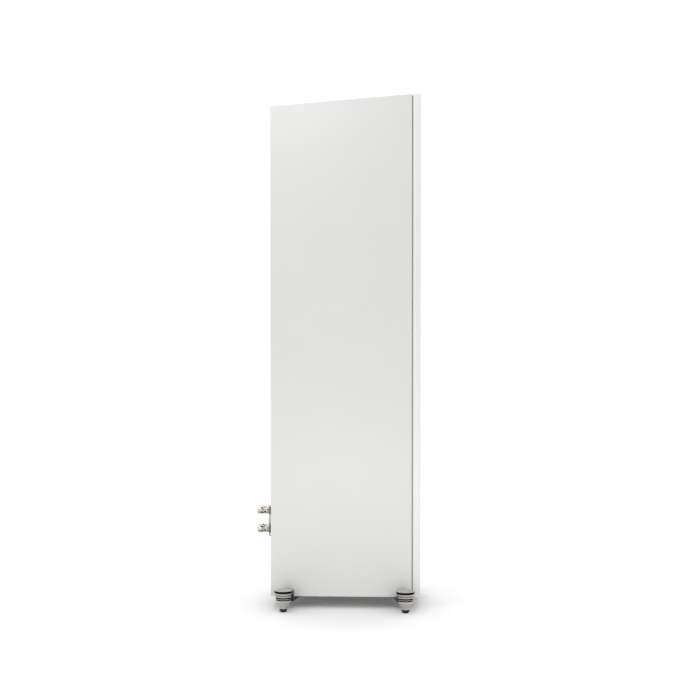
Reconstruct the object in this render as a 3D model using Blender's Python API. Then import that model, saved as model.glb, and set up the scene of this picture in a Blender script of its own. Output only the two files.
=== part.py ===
# Floorstanding three-way loudspeaker on four outrigger feet, built as its separate pieces.
# Metres, +Z up, the front faces -Y. The origin is on the floor, under the middle of the outer box.
from math import cos, pi, radians, sin, tau

import bmesh
import bpy
from mathutils import Matrix, Vector

GAP = 0.0003  # clearance between two pieces that touch
RUNNING = 0.0002  # radial clearance of a screw or stud in its hole

# cabinet
CABINET_WIDTH = 0.196
CABINET_DEPTH = 0.322
CABINET_HEIGHT = 1.080  # along the front edge
TOP_FALL = 0.026  # the top is this much lower at the rear
FLOOR_CLEARANCE = 0.025
SIDE_WALL = 0.015
END_WALL = 0.015  # top and bottom panels
REAR_WALL = 0.018
BAFFLE_THICKNESS = 0.018
SHADOW_GAP = 0.002  # groove between baffle and side panel
SHADOW_GAP_DEPTH = 0.004
PANEL_EDGE = 0.0012
BAFFLE_EDGE = 0.002
SHELF_THICKNESS = 0.015
SHELF_HOLE = 0.011
BRACE_THICKNESS = 0.015
BRACE_RIB = 0.016
BRACE_WINDOW_DEPTH = 0.105
LOWER_BRACE_HEIGHT = 0.300
FELT_THICKNESS = 0.008
FELT_MARGIN = 0.006

# drivers, by the distance of each centre below the front top edge
TWEETER_DROP = 0.090
MIDRANGE_DROP = 0.217
UPPER_WOOFER_DROP = 0.380
LOWER_WOOFER_DROP = 0.555
CUTOUT_CLEARANCE = 0.0005
FABRIC = 0.0007  # thickness of a surround or a spider
CONE_WALL = 0.001
FORMER_WALL = 0.0007
POLE_CLEARANCE = 0.0008

WOOFER = {
    "flange_radius": 0.0825,
    "flange": 0.006,
    "skirt_radius": 0.073,
    "skirt_depth": 0.012,
    "wall": 0.003,
    "ledge": 0.004,
    "roll_width": 0.009,
    "roll_height": 0.0042,
    "waist_radius": 0.057,
    "hub_radius": 0.030,
    "basket_depth": 0.050,
    "spider_depth": 0.037,
    "spider_radius": 0.049,
    "neck_depth": 0.030,
    "former_radius": 0.0136,
    "former_depth": 0.064,
    "cap_radius": 0.020,
    "cap_height": 0.0055,
    "plate_radius": 0.045,
    "plate": 0.006,
    "magnet_radius": 0.050,
    "magnet": 0.017,
    "window_width": 0.036,
    "window_depths": (0.015, 0.033),
    "screw_circle": 0.0778,
    "screws": 6,
}
MIDRANGE = {
    "flange_radius": 0.070,
    "flange": 0.005,
    "skirt_radius": 0.0595,
    "skirt_depth": 0.010,
    "wall": 0.0025,
    "ledge": 0.004,
    "roll_width": 0.007,
    "roll_height": 0.0032,
    "waist_radius": 0.046,
    "hub_radius": 0.024,
    "basket_depth": 0.038,
    "spider_depth": 0.028,
    "spider_radius": 0.039,
    "neck_depth": 0.024,
    "former_radius": 0.0128,
    "former_depth": 0.050,
    "cap_radius": 0.017,
    "cap_height": 0.0045,
    "plate_radius": 0.036,
    "plate": 0.005,
    "magnet_radius": 0.040,
    "magnet": 0.013,
    "window_width": 0.026,
    "window_depths": (0.0125, 0.0245),
    "screw_circle": 0.065,
    "screws": 4,
}
TWEETER_PLATE_RADIUS = 0.052
TWEETER_PLATE = 0.005
TWEETER_BOSS_RADIUS = 0.037
TWEETER_BOSS = 0.004
TWEETER_MOUTH_RADIUS = 0.030
DOME_RADIUS = 0.0134
DOME_HEIGHT = 0.0055
DOME_RECESS = 0.0015
DOME_COIL = 0.0075
TWEETER_MAGNET_RADIUS = 0.036
TWEETER_MAGNET = 0.024
TWEETER_SCREW_CIRCLE = 0.045
TWEETER_SCREWS = 4
SCREW_SEAT_RADIUS = 0.0035  # recess for a screw's head
SCREW_SEAT = 0.003
SCREW_HOLE_RADIUS = 0.002
SCREW_DEPTH = 0.0158

# reflex port
PORT_HEIGHT = 0.420
PORT_BORE_RADIUS = 0.030
PORT_WALL = 0.003
PORT_LENGTH = 0.130
PORT_LIP_RADIUS = 0.040
PORT_LIP = 0.003
PORT_FLARE = 0.012

# terminals
TERMINAL_HEIGHT = 0.1795
POST_COLUMN_PITCH = 0.030
POST_ROW_PITCH = 0.041
TERMINAL_PLATE_SIZE = (0.084, 0.104)
TERMINAL_PLATE = 0.003
TERMINAL_FRAME = 0.010  # overlap of the plate on the rear panel
STUD_RADIUS = 0.003
STUD_TAIL = 0.025
STUD_BOSS_RADIUS = 0.006
STUD_BOSS = 0.0043
COLLAR_RADIUS = 0.009
COLLAR = 0.010
LINK_THICKNESS = 0.0012
LINK_WIDTH = 0.013
WASHER_RADIUS = 0.0068
WASHER = 0.0011
KNOB_RADIUS = 0.00725
KNOB_EDGE = 0.0007
KNOB_WAIST = 0.0008
KNOB_THREAD = 0.0123  # depth of the threaded part inside the knob
SOCKET_RADIUS = 0.0021  # takes a 4 mm plug
POST_REACH = 0.036  # from the rear face to the end of a knob

# feet
FOOT_OUT = 0.046  # axis outside the cabinet's side
FOOT_INSET = 0.031  # axis inside the cabinet's front or rear face
FOOT_CAP_RADIUS = 0.0197
FOOT_CAP = 0.0057
FOOT_CAP_WALL = 0.0016
EYE_RADIUS = 0.018
EYE = 0.0088
BAND_RADIUS = 0.0165
BAND = 0.0065
BAND_GROOVE = 0.0005
CONE_TOP_RADIUS = 0.0162
CONE_BOTTOM_RADIUS = 0.0085
CONE_HEIGHT = 0.0174
TIP_RADIUS = 0.0085
TIP_SOLE_RADIUS = 0.0052
TIP_HEIGHT = 0.007
TIP_SOLE = 0.003
PIN_RADIUS = 0.003
FOOT_STUD_RADIUS = 0.004
FOOT_STUD_RISE = 0.0036  # stud above the eye, inside the cap
ARM_WIDTH = 0.024
ARM_ANGLE = radians(10)
ARM_LENGTH = 0.121
ARM_PLATE = 0.0087
RISER_START = 0.035
RISER = 0.0085
ARM_STUD_PLACES = (0.077, 0.106)  # along the arm from the foot's axis
ARM_STUD_RADIUS = 0.003
ARM_STUD = 0.012

# crossover and wiring
BOARD_SIZE = (0.110, 0.150)
BOARD = 0.0016
BOARD_LEG = 0.006
BOARD_LEG_WIDTH = 0.010
BOARD_LEG_INSET = 0.012
COIL_HEIGHT = 0.018
COIL_BORE = 0.008
COIL_RADIUS = 0.024
COIL_PLACE = (0.022, 0.030)  # from the middle of the board
CAPACITOR_RADIUS = 0.010
CAPACITOR_LENGTH = 0.044
CAPACITOR_PLACES = ((0.022, -0.052), (0.022, -0.026))
WIRE_RADIUS = 0.0024
WIRE_STEPS = 3  # curve pieces between two route points
WIRE_CLEARANCE = 0.003  # between the loom and the baffle
LEAD_RUN = 0.005  # straight start of the input lead, before it bends down

ROUND = 20  # sides of the drivers and the port
FOOT_SIDES = 16
POST_SIDES = 12
SCREW_SIDES = 6

# finishes: colour, roughness, metallic
LACQUER = ((0.76, 0.76, 0.73), 0.35, 0.0)
BOARD_RAW = ((0.42, 0.30, 0.18), 0.85, 0.0)
FELT = ((0.10, 0.10, 0.11), 0.95, 0.0)
BLACK_CAST = ((0.02, 0.02, 0.022), 0.45, 0.0)
BLACK_PLASTIC = ((0.012, 0.012, 0.013), 0.4, 0.0)
BLACK_RUBBER = ((0.01, 0.01, 0.01), 0.75, 0.0)
BRIGHT_NICKEL = ((0.72, 0.70, 0.66), 0.18, 1.0)
SATIN_METAL = ((0.48, 0.48, 0.48), 0.32, 1.0)
CONE_FIBRE = ((0.03, 0.03, 0.034), 0.6, 0.0)
FERRITE = ((0.05, 0.05, 0.055), 0.55, 0.2)
SPIDER_CLOTH = ((0.45, 0.24, 0.07), 0.9, 0.0)
CIRCUIT_BOARD = ((0.02, 0.10, 0.04), 0.5, 0.0)
COPPER = ((0.70, 0.30, 0.14), 0.35, 1.0)
CABLE_SHEATH = ((0.25, 0.02, 0.02), 0.55, 0.0)

# places that follow from the sizes above
OUTER_DEPTH = CABINET_DEPTH + POST_REACH
FRONT_Y = -OUTER_DEPTH / 2
REAR_Y = FRONT_Y + CABINET_DEPTH
BAFFLE_BACK_Y = FRONT_Y + BAFFLE_THICKNESS
REAR_INNER_Y = REAR_Y - REAR_WALL
SIDE_X = CABINET_WIDTH / 2
INNER_X = SIDE_X - SIDE_WALL
BOTTOM_Z = FLOOR_CLEARANCE
FLOOR_Z = BOTTOM_Z + END_WALL
FRONT_TOP_Z = BOTTOM_Z + CABINET_HEIGHT
MIDRANGE_END = MIDRANGE_DROP + MIDRANGE["skirt_radius"]
SHELF_Z = FRONT_TOP_Z - (MIDRANGE_END + UPPER_WOOFER_DROP - WOOFER["skirt_radius"]) / 2
UPPER_BRACE_Z = FRONT_TOP_Z - (UPPER_WOOFER_DROP + LOWER_WOOFER_DROP) / 2
LOWER_BRACE_Z = LOWER_BRACE_HEIGHT + BRACE_THICKNESS / 2
FACING_BACK = (-pi / 2, 0, 0)  # local +Z towards +Y
FACING_FRONT = (pi / 2, 0, 0)  # local +Z towards -Y


def top_z(y):
    return FRONT_TOP_Z - TOP_FALL * (y - FRONT_Y) / CABINET_DEPTH


def clear_scene():
    for old in list(bpy.data.objects):
        bpy.data.objects.remove(old, do_unlink=True)


def make_material(name, finish):
    colour, roughness, metallic = finish
    made = bpy.data.materials.new(name)
    made.use_nodes = True
    shader = made.node_tree.nodes["Principled BSDF"]
    shader.inputs["Base Color"].default_value = (*colour, 1.0)
    shader.inputs["Roughness"].default_value = roughness
    shader.inputs["Metallic"].default_value = metallic
    return made


def add_object(name, data, parent=None, location=(0, 0, 0), rotation=(0, 0, 0)):
    made = bpy.data.objects.new(name, data)
    bpy.context.collection.objects.link(made)
    made.parent = parent
    made.location = location
    made.rotation_euler = rotation
    return made


def add_part(name, data, finish, parent=None, location=(0, 0, 0), rotation=(0, 0, 0)):
    part = add_object(name, data, parent, location, rotation)
    data.materials.append(make_material(name, finish))
    return part


# A guide only cuts into a part or joins it. It isn't a piece of the loudspeaker.
def add_guide(name, data, parent=None, location=(0, 0, 0), rotation=(0, 0, 0)):
    guide = add_object(name, data, parent, location, rotation)
    guide.hide_render = True
    guide.display_type = "WIRE"
    return guide


def combine(part, guide, operation):
    modifier = part.modifiers.new(guide.name, "BOOLEAN")
    modifier.object = guide
    modifier.operation = operation
    modifier.solver = "EXACT"


def soften(part, width, segments):
    modifier = part.modifiers.new("edges", "BEVEL")
    modifier.width = width
    modifier.segments = segments
    modifier.limit_method = "ANGLE"
    modifier.angle_limit = radians(60)


def to_mesh(name, shape, smooth=True):
    bmesh.ops.recalc_face_normals(shape, faces=shape.faces)
    mesh = bpy.data.meshes.new(name)
    shape.to_mesh(mesh)
    shape.free()
    if smooth:
        mesh.shade_smooth()
        mesh.set_sharp_from_angle(angle=radians(35))
    return mesh


# A turned solid about Z. The profile is (radius, height): a loop, or a line from axis to axis.
def turned(name, profile, sides):
    shape = bmesh.new()
    points = [shape.verts.new((radius, 0, height)) for radius, height in profile]
    lines = [shape.edges.new(pair) for pair in zip(points, points[1:])]
    if profile[0][0] > 0:
        lines.append(shape.edges.new((points[-1], points[0])))
    bmesh.ops.spin(
        shape, geom=points + lines, cent=(0, 0, 0), axis=(0, 0, 1), angle=tau, steps=sides, use_merge=True
    )
    bmesh.ops.remove_doubles(shape, verts=shape.verts, dist=1e-6)
    return to_mesh(name, shape)


# A flat outline extruded along one axis: "X" takes (y, z) points, "Y" takes (x, z) and "Z" takes (x, y).
def extruded(name, outline, axis, low, high, smooth=False):
    corners = {
        "X": lambda u, v, w: (w, u, v),
        "Y": lambda u, v, w: (u, w, v),
        "Z": lambda u, v, w: (u, v, w),
    }[axis]
    shape = bmesh.new()
    face = shape.faces.new([shape.verts.new(corners(u, v, low)) for u, v in outline])
    grown = bmesh.ops.extrude_face_region(shape, geom=[face])["geom"]
    moved = [item for item in grown if isinstance(item, bmesh.types.BMVert)]
    bmesh.ops.translate(shape, verts=moved, vec=Vector(corners(0, 0, high - low)))
    return to_mesh(name, shape, smooth)


def box(name, low, high):
    outline = [(low[0], low[1]), (high[0], low[1]), (high[0], high[1]), (low[0], high[1])]
    return extruded(name, outline, "Z", low[2], high[2])


# One mesh that repeats a shape at several places, as separate solids.
def repeated(name, mesh, places):
    shape = bmesh.new()
    for place in places:
        first = len(shape.verts)
        shape.from_mesh(mesh)
        shape.verts.ensure_lookup_table()
        bmesh.ops.transform(shape, matrix=place, verts=shape.verts[first:])
    return to_mesh(name, shape)


def moved_to(x, y, z=0.0):
    return Matrix.Translation((x, y, z))


def on_circle(radius, count, start):
    angles = [start + tau * step / count for step in range(count)]
    return [(radius * cos(angle), radius * sin(angle)) for angle in angles]


# A shallow dome from its axis to its rim, as a parabola.
def dome(radius, apex, rim, count):
    steps = [step / count for step in range(count + 1)]
    return [(radius * step, apex + (rim - apex) * step * step) for step in steps]


def build_panels():
    rear = [(BAFFLE_BACK_Y + GAP, BOTTOM_Z), (REAR_Y, BOTTOM_Z), (REAR_Y, top_z(REAR_Y))]
    rear.append((BAFFLE_BACK_Y + GAP, top_z(BAFFLE_BACK_Y + GAP)))
    for name, side in (("side_panel_left", -1), ("side_panel_right", 1)):
        edges = sorted((side * INNER_X, side * SIDE_X))
        panel = add_part(name, extruded(name, rear, "X", *edges), LACQUER)
        soften(panel, PANEL_EDGE, 2)

    inside = INNER_X - GAP
    front = BAFFLE_BACK_Y + GAP
    lower = [(y, top_z(y) - END_WALL) for y in (front, REAR_Y)]
    upper = [(y, top_z(y)) for y in (REAR_Y, front)]
    add_part("top_panel", extruded("top_panel", lower + upper, "X", -inside, inside), LACQUER)

    floor = box("bottom_panel", (-inside, front, BOTTOM_Z), (inside, REAR_Y, FLOOR_Z))
    return add_part("bottom_panel", floor, LACQUER)


def build_rear_panel():
    inside = INNER_X - GAP
    outline = [(REAR_INNER_Y, FLOOR_Z + GAP), (REAR_Y, FLOOR_Z + GAP)]
    for y in (REAR_Y, REAR_INNER_Y):
        outline.append((y, top_z(y) - END_WALL - GAP))
    panel = add_part("rear_panel", extruded("rear_panel", outline, "X", -inside, inside), LACQUER)

    hole = PORT_BORE_RADIUS + PORT_WALL + GAP
    lip = PORT_LIP_RADIUS + GAP
    beyond = REAR_WALL + 0.01
    seat = PORT_LIP + GAP
    profile = [(0, -0.01), (lip, -0.01), (lip, seat), (hole, seat), (hole, beyond), (0, beyond)]
    place = (0, REAR_Y, PORT_HEIGHT)
    port_hole = add_guide("port_hole", turned("port_hole", profile, ROUND), None, place, FACING_FRONT)
    combine(panel, port_hole, "DIFFERENCE")

    wide, tall = (size / 2 for size in TERMINAL_PLATE_SIZE)
    seat = box(
        "terminal_seat",
        (-wide - GAP, REAR_Y - TERMINAL_PLATE - GAP, TERMINAL_HEIGHT - tall - GAP),
        (wide + GAP, REAR_Y + 0.01, TERMINAL_HEIGHT + tall + GAP),
    )
    opening = box(
        "terminal_opening",
        (-wide + TERMINAL_FRAME, REAR_INNER_Y - 0.01, TERMINAL_HEIGHT - tall + TERMINAL_FRAME),
        (wide - TERMINAL_FRAME, REAR_Y, TERMINAL_HEIGHT + tall - TERMINAL_FRAME),
    )
    combine(panel, add_guide("terminal_seat", seat), "DIFFERENCE")
    combine(panel, add_guide("terminal_opening", opening), "DIFFERENCE")
    return panel


def build_baffle():
    groove_y = BAFFLE_BACK_Y - SHADOW_GAP
    outline = [(FRONT_Y, BOTTOM_Z), (groove_y, BOTTOM_Z)]
    outline += [(y, top_z(y)) for y in (groove_y, FRONT_Y)]
    baffle = add_part("front_baffle", extruded("front_baffle", outline, "X", -SIDE_X, SIDE_X), LACQUER)
    soften(baffle, BAFFLE_EDGE, 2)

    # the step behind the baffle that leaves the shadow gap around the cabinet
    inset = SHADOW_GAP_DEPTH
    middle = FRONT_Y + BAFFLE_THICKNESS / 2
    core = [(middle, BOTTOM_Z + inset), (BAFFLE_BACK_Y, BOTTOM_Z + inset)]
    core += [(BAFFLE_BACK_Y, top_z(BAFFLE_BACK_Y) - inset), (middle, top_z(middle) - inset)]
    step = extruded("baffle_core", core, "X", inset - SIDE_X, SIDE_X - inset)
    combine(baffle, add_guide("baffle_core", step), "UNION")
    return baffle


def build_inner_boards():
    inside = INNER_X - GAP
    front = BAFFLE_BACK_Y + GAP
    rear = REAR_INNER_Y - GAP
    low = (-inside, front, SHELF_Z - SHELF_THICKNESS / 2)
    high = (inside, rear, SHELF_Z + SHELF_THICKNESS / 2)
    shelf = add_part("midrange_shelf", box("midrange_shelf", low, high), BOARD_RAW)
    hole = turned("shelf_hole", [(0, -0.02), (SHELF_HOLE, -0.02), (SHELF_HOLE, 0.02), (0, 0.02)], ROUND)
    combine(shelf, add_guide("shelf_hole", hole, None, (*wire_column(), SHELF_Z)), "DIFFERENCE")

    windows = []
    middle = (front + rear) / 2
    for name, side in (("brace_window_left", -1), ("brace_window_right", 1)):
        edges = sorted((side * BRACE_RIB / 2, side * (inside - BRACE_RIB)))
        low = (edges[0], middle - BRACE_WINDOW_DEPTH / 2, LOWER_BRACE_Z - BRACE_THICKNESS)
        high = (edges[1], middle + BRACE_WINDOW_DEPTH / 2, UPPER_BRACE_Z + BRACE_THICKNESS)
        windows.append(add_guide(name, box(name, low, high)))
    for name, height in (("upper_brace", UPPER_BRACE_Z), ("lower_brace", LOWER_BRACE_Z)):
        low = (-inside, front, height - BRACE_THICKNESS / 2)
        brace = add_part(name, box(name, low, (inside, rear, height + BRACE_THICKNESS / 2)), BOARD_RAW)
        for window in windows:
            combine(brace, window, "DIFFERENCE")


# One felt blanket between the braces, down both side walls and across the rear one, around the port.
def build_lining():
    outer = INNER_X - GAP
    inner = outer - FELT_THICKNESS
    front = FRONT_Y + WOOFER["basket_depth"] + FELT_MARGIN
    rear = REAR_INNER_Y - GAP
    back = rear - FELT_THICKNESS
    outline = [(-outer, front), (-inner, front), (-inner, back), (inner, back)]
    outline += [(inner, front), (outer, front), (outer, rear), (-outer, rear)]
    low = LOWER_BRACE_Z + BRACE_THICKNESS / 2 + FELT_MARGIN
    high = UPPER_BRACE_Z - BRACE_THICKNESS / 2 - FELT_MARGIN
    lining = add_part("damping_lining", extruded("damping_lining", outline, "Z", low, high), FELT)
    radius = PORT_BORE_RADIUS + PORT_WALL + FELT_MARGIN
    gap = turned("felt_hole", [(0, 0), (radius, 0), (radius, PORT_LENGTH), (0, PORT_LENGTH)], ROUND)
    combine(lining, add_guide("felt_hole", gap, None, (0, REAR_Y, PORT_HEIGHT), FACING_FRONT), "DIFFERENCE")


def wall_radius(spec, depth):
    waist_depth = spec["basket_depth"] - spec["wall"]
    share = (depth - spec["skirt_depth"]) / (waist_depth - spec["skirt_depth"])
    return spec["skirt_radius"] + share * (spec["waist_radius"] - spec["skirt_radius"])


def basket_profile(spec):
    opening = spec["skirt_radius"] - spec["wall"]
    ledge_front = spec["flange"] - 0.0005
    ledge_back = ledge_front + spec["wall"] - 0.0005
    back = spec["basket_depth"] + spec["wall"]
    seat_outer = wall_radius(spec, spec["spider_depth"]) - spec["wall"]
    return [
        (opening, 0),
        (spec["flange_radius"], 0),
        (spec["flange_radius"], spec["flange"]),
        (spec["skirt_radius"], spec["flange"]),
        (spec["skirt_radius"], spec["skirt_depth"]),
        (spec["waist_radius"], spec["basket_depth"] - spec["wall"]),
        (spec["waist_radius"] - spec["wall"], back),
        (spec["hub_radius"], back),
        (spec["hub_radius"], spec["basket_depth"]),
        (spec["spider_radius"], spec["basket_depth"]),
        (spec["spider_radius"], spec["spider_depth"]),
        (seat_outer, spec["spider_depth"]),
        (opening, spec["skirt_depth"]),
        (opening, ledge_back),
        (opening - spec["ledge"], ledge_back),
        (opening - spec["ledge"], ledge_front),
        (opening, ledge_front),
    ]


def magnet_profile(spec):
    start = spec["basket_depth"] + spec["wall"] + GAP
    pole = spec["former_radius"] - FORMER_WALL - POLE_CLEARANCE
    gap_wall = spec["former_radius"] + POLE_CLEARANCE
    rear_plate = start + spec["plate"] + spec["magnet"]
    vent = pole / 3
    return [
        (vent, start),
        (pole, start),
        (pole, rear_plate - 0.002),
        (gap_wall, rear_plate - 0.002),
        (gap_wall, start),
        (spec["plate_radius"], start),
        (spec["plate_radius"], start + spec["plate"]),
        (spec["magnet_radius"], start + spec["plate"]),
        (spec["magnet_radius"], rear_plate),
        (spec["plate_radius"], rear_plate),
        (spec["plate_radius"], rear_plate + spec["plate"]),
        (vent, rear_plate + spec["plate"]),
    ]


# Places shared by the cone and the surround that is glued to it.
def roll_places(spec):
    opening = spec["skirt_radius"] - spec["wall"]
    outer = opening - spec["ledge"] + 0.001
    inner = outer - spec["roll_width"]
    face = spec["flange"] - 0.0005
    return opening, outer, inner, face


def cone_profile(spec):
    _, _, lip_radius, face = roll_places(spec)
    lip = lip_radius - 0.0025
    former = spec["former_radius"]

    def front(radius):
        return face + (spec["neck_depth"] - face) * (lip - radius) / (lip - former)

    cap_rim = front(spec["cap_radius"])
    outer_cap = dome(spec["cap_radius"], cap_rim - spec["cap_height"], cap_rim, 3)
    inner_rim = spec["cap_radius"] - CONE_WALL
    inner_cap = dome(inner_rim, cap_rim - spec["cap_height"] + CONE_WALL, front(inner_rim), 3)
    return [
        *outer_cap,
        (lip, face),
        (lip_radius, face),
        (lip_radius, face + CONE_WALL),
        (lip, face + CONE_WALL),
        (former, spec["neck_depth"] + CONE_WALL),
        (former, spec["former_depth"]),
        (former - FORMER_WALL, spec["former_depth"]),
        (former - FORMER_WALL, front(former - FORMER_WALL)),
        *reversed(inner_cap),
    ]


# A rubber half roll between two flat rims: the outer one on the basket, the inner one on the cone.
def surround_profile(spec):
    opening, outer, inner, face = roll_places(spec)
    middle = (outer + inner) / 2
    half = (outer - inner) / 2
    base = face - GAP - FABRIC

    def roll(width, height, shift):
        angles = [pi * step / 4 for step in range(5)]
        return [(middle + width * cos(angle), base + shift - height * sin(angle)) for angle in angles]

    front = roll(half, spec["roll_height"], 0)
    back = roll(half - FABRIC, spec["roll_height"] - FABRIC, FABRIC)
    return [
        (opening - GAP, base + FABRIC),
        (opening - GAP, base),
        *front,
        (inner - 0.002, base),
        (inner - 0.002, base + FABRIC),
        *reversed(back),
    ]


# A corrugated ring that centres the coil former, glued to the step inside the basket.
def spider_profile(spec):
    inner = spec["former_radius"] + GAP
    outer = wall_radius(spec, spec["spider_depth"]) - spec["wall"] - GAP - 0.001
    back = spec["spider_depth"] - GAP
    wave = 0.002
    stops = [inner + (outer - inner) * share for share in (0, 0.2, 0.4, 0.6, 0.8, 1)]
    heights = [back, back - wave, back, back - wave, back, back]
    behind = list(zip(stops, heights))
    ahead = [(radius, height - FABRIC) for radius, height in behind]
    return behind + ahead[::-1]


def cutout_profile(flange_radius, flange, hole):
    seat = flange_radius + GAP
    beyond = BAFFLE_THICKNESS + 0.01
    floor = flange + GAP
    return [(0, -0.01), (seat, -0.01), (seat, floor), (hole, floor), (hole, beyond), (0, beyond)]


# Screw places around a driver, as row positions on the front face.
def screw_places(circle, count, height):
    return [(x, FRONT_Y, height + z) for x, z in on_circle(circle, count, pi / count)]


def build_cone_driver(tag, spec, height, baffle):
    axis = add_object(tag + "_axis", None, None, (0, FRONT_Y, height), FACING_BACK)
    basket = add_part(tag + "_basket", turned(tag + "_basket", basket_profile(spec), ROUND), BLACK_CAST, axis)
    near, far = spec["window_depths"]
    half = spec["window_width"] / 2
    window = box("window", (spec["spider_radius"] - 0.003, -half, near), (spec["flange_radius"], half, far))
    turns = [Matrix.Rotation(tau * step / 6, 4, "Z") for step in range(6)]
    windows = add_guide(tag + "_windows", repeated(tag + "_windows", window, turns), axis)
    combine(basket, windows, "DIFFERENCE")

    add_part(tag + "_magnet", turned(tag + "_magnet", magnet_profile(spec), ROUND), FERRITE, axis)
    add_part(tag + "_surround", turned(tag + "_surround", surround_profile(spec), ROUND), BLACK_RUBBER, axis)
    add_part(tag + "_spider", turned(tag + "_spider", spider_profile(spec), ROUND), SPIDER_CLOTH, axis)
    add_part(tag + "_cone", turned(tag + "_cone", cone_profile(spec), ROUND), CONE_FIBRE, axis)

    hole = cutout_profile(spec["flange_radius"], spec["flange"], spec["skirt_radius"] + CUTOUT_CLEARANCE)
    cutter = add_guide(tag + "_cutout", turned(tag + "_cutout", hole, ROUND), axis)
    combine(baffle, cutter, "DIFFERENCE")
    return basket, screw_places(spec["screw_circle"], spec["screws"], height)


def build_tweeter(height, baffle):
    axis = add_object("tweeter_axis", None, None, (0, FRONT_Y, height), FACING_BACK)
    throat = DOME_RADIUS + 0.001
    back = TWEETER_PLATE + TWEETER_BOSS
    plate = [
        (TWEETER_MOUTH_RADIUS, 0),
        (TWEETER_PLATE_RADIUS, 0),
        (TWEETER_PLATE_RADIUS, TWEETER_PLATE),
        (TWEETER_BOSS_RADIUS, TWEETER_PLATE),
        (TWEETER_BOSS_RADIUS, back),
        (throat, back),
        (throat, TWEETER_PLATE - 0.001),
    ]
    faceplate = add_part("tweeter_faceplate", turned("tweeter_faceplate", plate, ROUND), BLACK_CAST, axis)

    rim = DOME_RECESS + DOME_HEIGHT
    former = DOME_RADIUS - 0.0005
    inner = former - FORMER_WALL
    shell = [
        *dome(DOME_RADIUS, DOME_RECESS, rim, 4),
        (DOME_RADIUS, rim + FABRIC),
        (former, rim + FABRIC),
        (former, rim + DOME_COIL),
        (inner, rim + DOME_COIL),
        (inner, rim + FABRIC),
        *reversed(dome(inner - FABRIC, DOME_RECESS + FABRIC, rim, 4)),
    ]
    add_part("tweeter_dome", turned("tweeter_dome", shell, ROUND), SATIN_METAL, axis)

    start = back + GAP
    floor = rim + DOME_COIL + 0.003
    pole = inner - POLE_CLEARANCE
    wall = former + POLE_CLEARANCE
    end = start + TWEETER_MAGNET
    motor = [(0, start), (pole, start), (pole, floor), (wall, floor), (wall, start)]
    motor += [(TWEETER_MAGNET_RADIUS, start), (TWEETER_MAGNET_RADIUS, end), (0, end)]
    add_part("tweeter_magnet", turned("tweeter_magnet", motor, ROUND), FERRITE, axis)

    hole = cutout_profile(TWEETER_PLATE_RADIUS, TWEETER_PLATE, TWEETER_BOSS_RADIUS + CUTOUT_CLEARANCE)
    combine(baffle, add_guide("tweeter_cutout", turned("tweeter_cutout", hole, ROUND), axis), "DIFFERENCE")
    return faceplate, screw_places(TWEETER_SCREW_CIRCLE, TWEETER_SCREWS, height)


# Stepped holes for screws at places on a face, driven along `facing`, through every part in `into`.
def drill(name, places, facing, into):
    wide, narrow = SCREW_SEAT_RADIUS, SCREW_HOLE_RADIUS
    end = SCREW_DEPTH
    bore = [(0, -0.005), (wide, -0.005), (wide, SCREW_SEAT), (narrow, SCREW_SEAT), (narrow, end), (0, end)]
    turn = Matrix.Rotation(facing[0], 4, "X")
    spots = [moved_to(*place) @ turn for place in places]
    holes = add_guide(name, repeated(name, turned("bore", bore, SCREW_SIDES), spots))
    for part in into:
        combine(part, holes, "DIFFERENCE")


def build_port():
    outer = PORT_BORE_RADIUS + PORT_WALL
    flare = PORT_LIP_RADIUS - PORT_WALL - PORT_BORE_RADIUS
    curve = []
    for step in range(5):
        angle = pi / 2 * step / 4
        curve.append((PORT_BORE_RADIUS + flare * (1 - cos(angle)), PORT_FLARE * (1 - sin(angle))))
    profile = [
        (PORT_LIP_RADIUS, 0),
        (PORT_LIP_RADIUS, PORT_LIP),
        (outer, PORT_LIP),
        (outer, PORT_LENGTH),
        (PORT_BORE_RADIUS, PORT_LENGTH),
        *curve,
    ]
    place = (0, REAR_Y, PORT_HEIGHT)
    add_part("port_tube", turned("port_tube", profile, ROUND), BLACK_PLASTIC, None, place, FACING_FRONT)


def post_places():
    columns = (("left", -POST_COLUMN_PITCH / 2), ("right", POST_COLUMN_PITCH / 2))
    rows = (("lower", TERMINAL_HEIGHT - POST_ROW_PITCH / 2), ("upper", TERMINAL_HEIGHT + POST_ROW_PITCH / 2))
    return [(f"{row}_{column}", x, z) for row, z in rows for column, x in columns]


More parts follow.
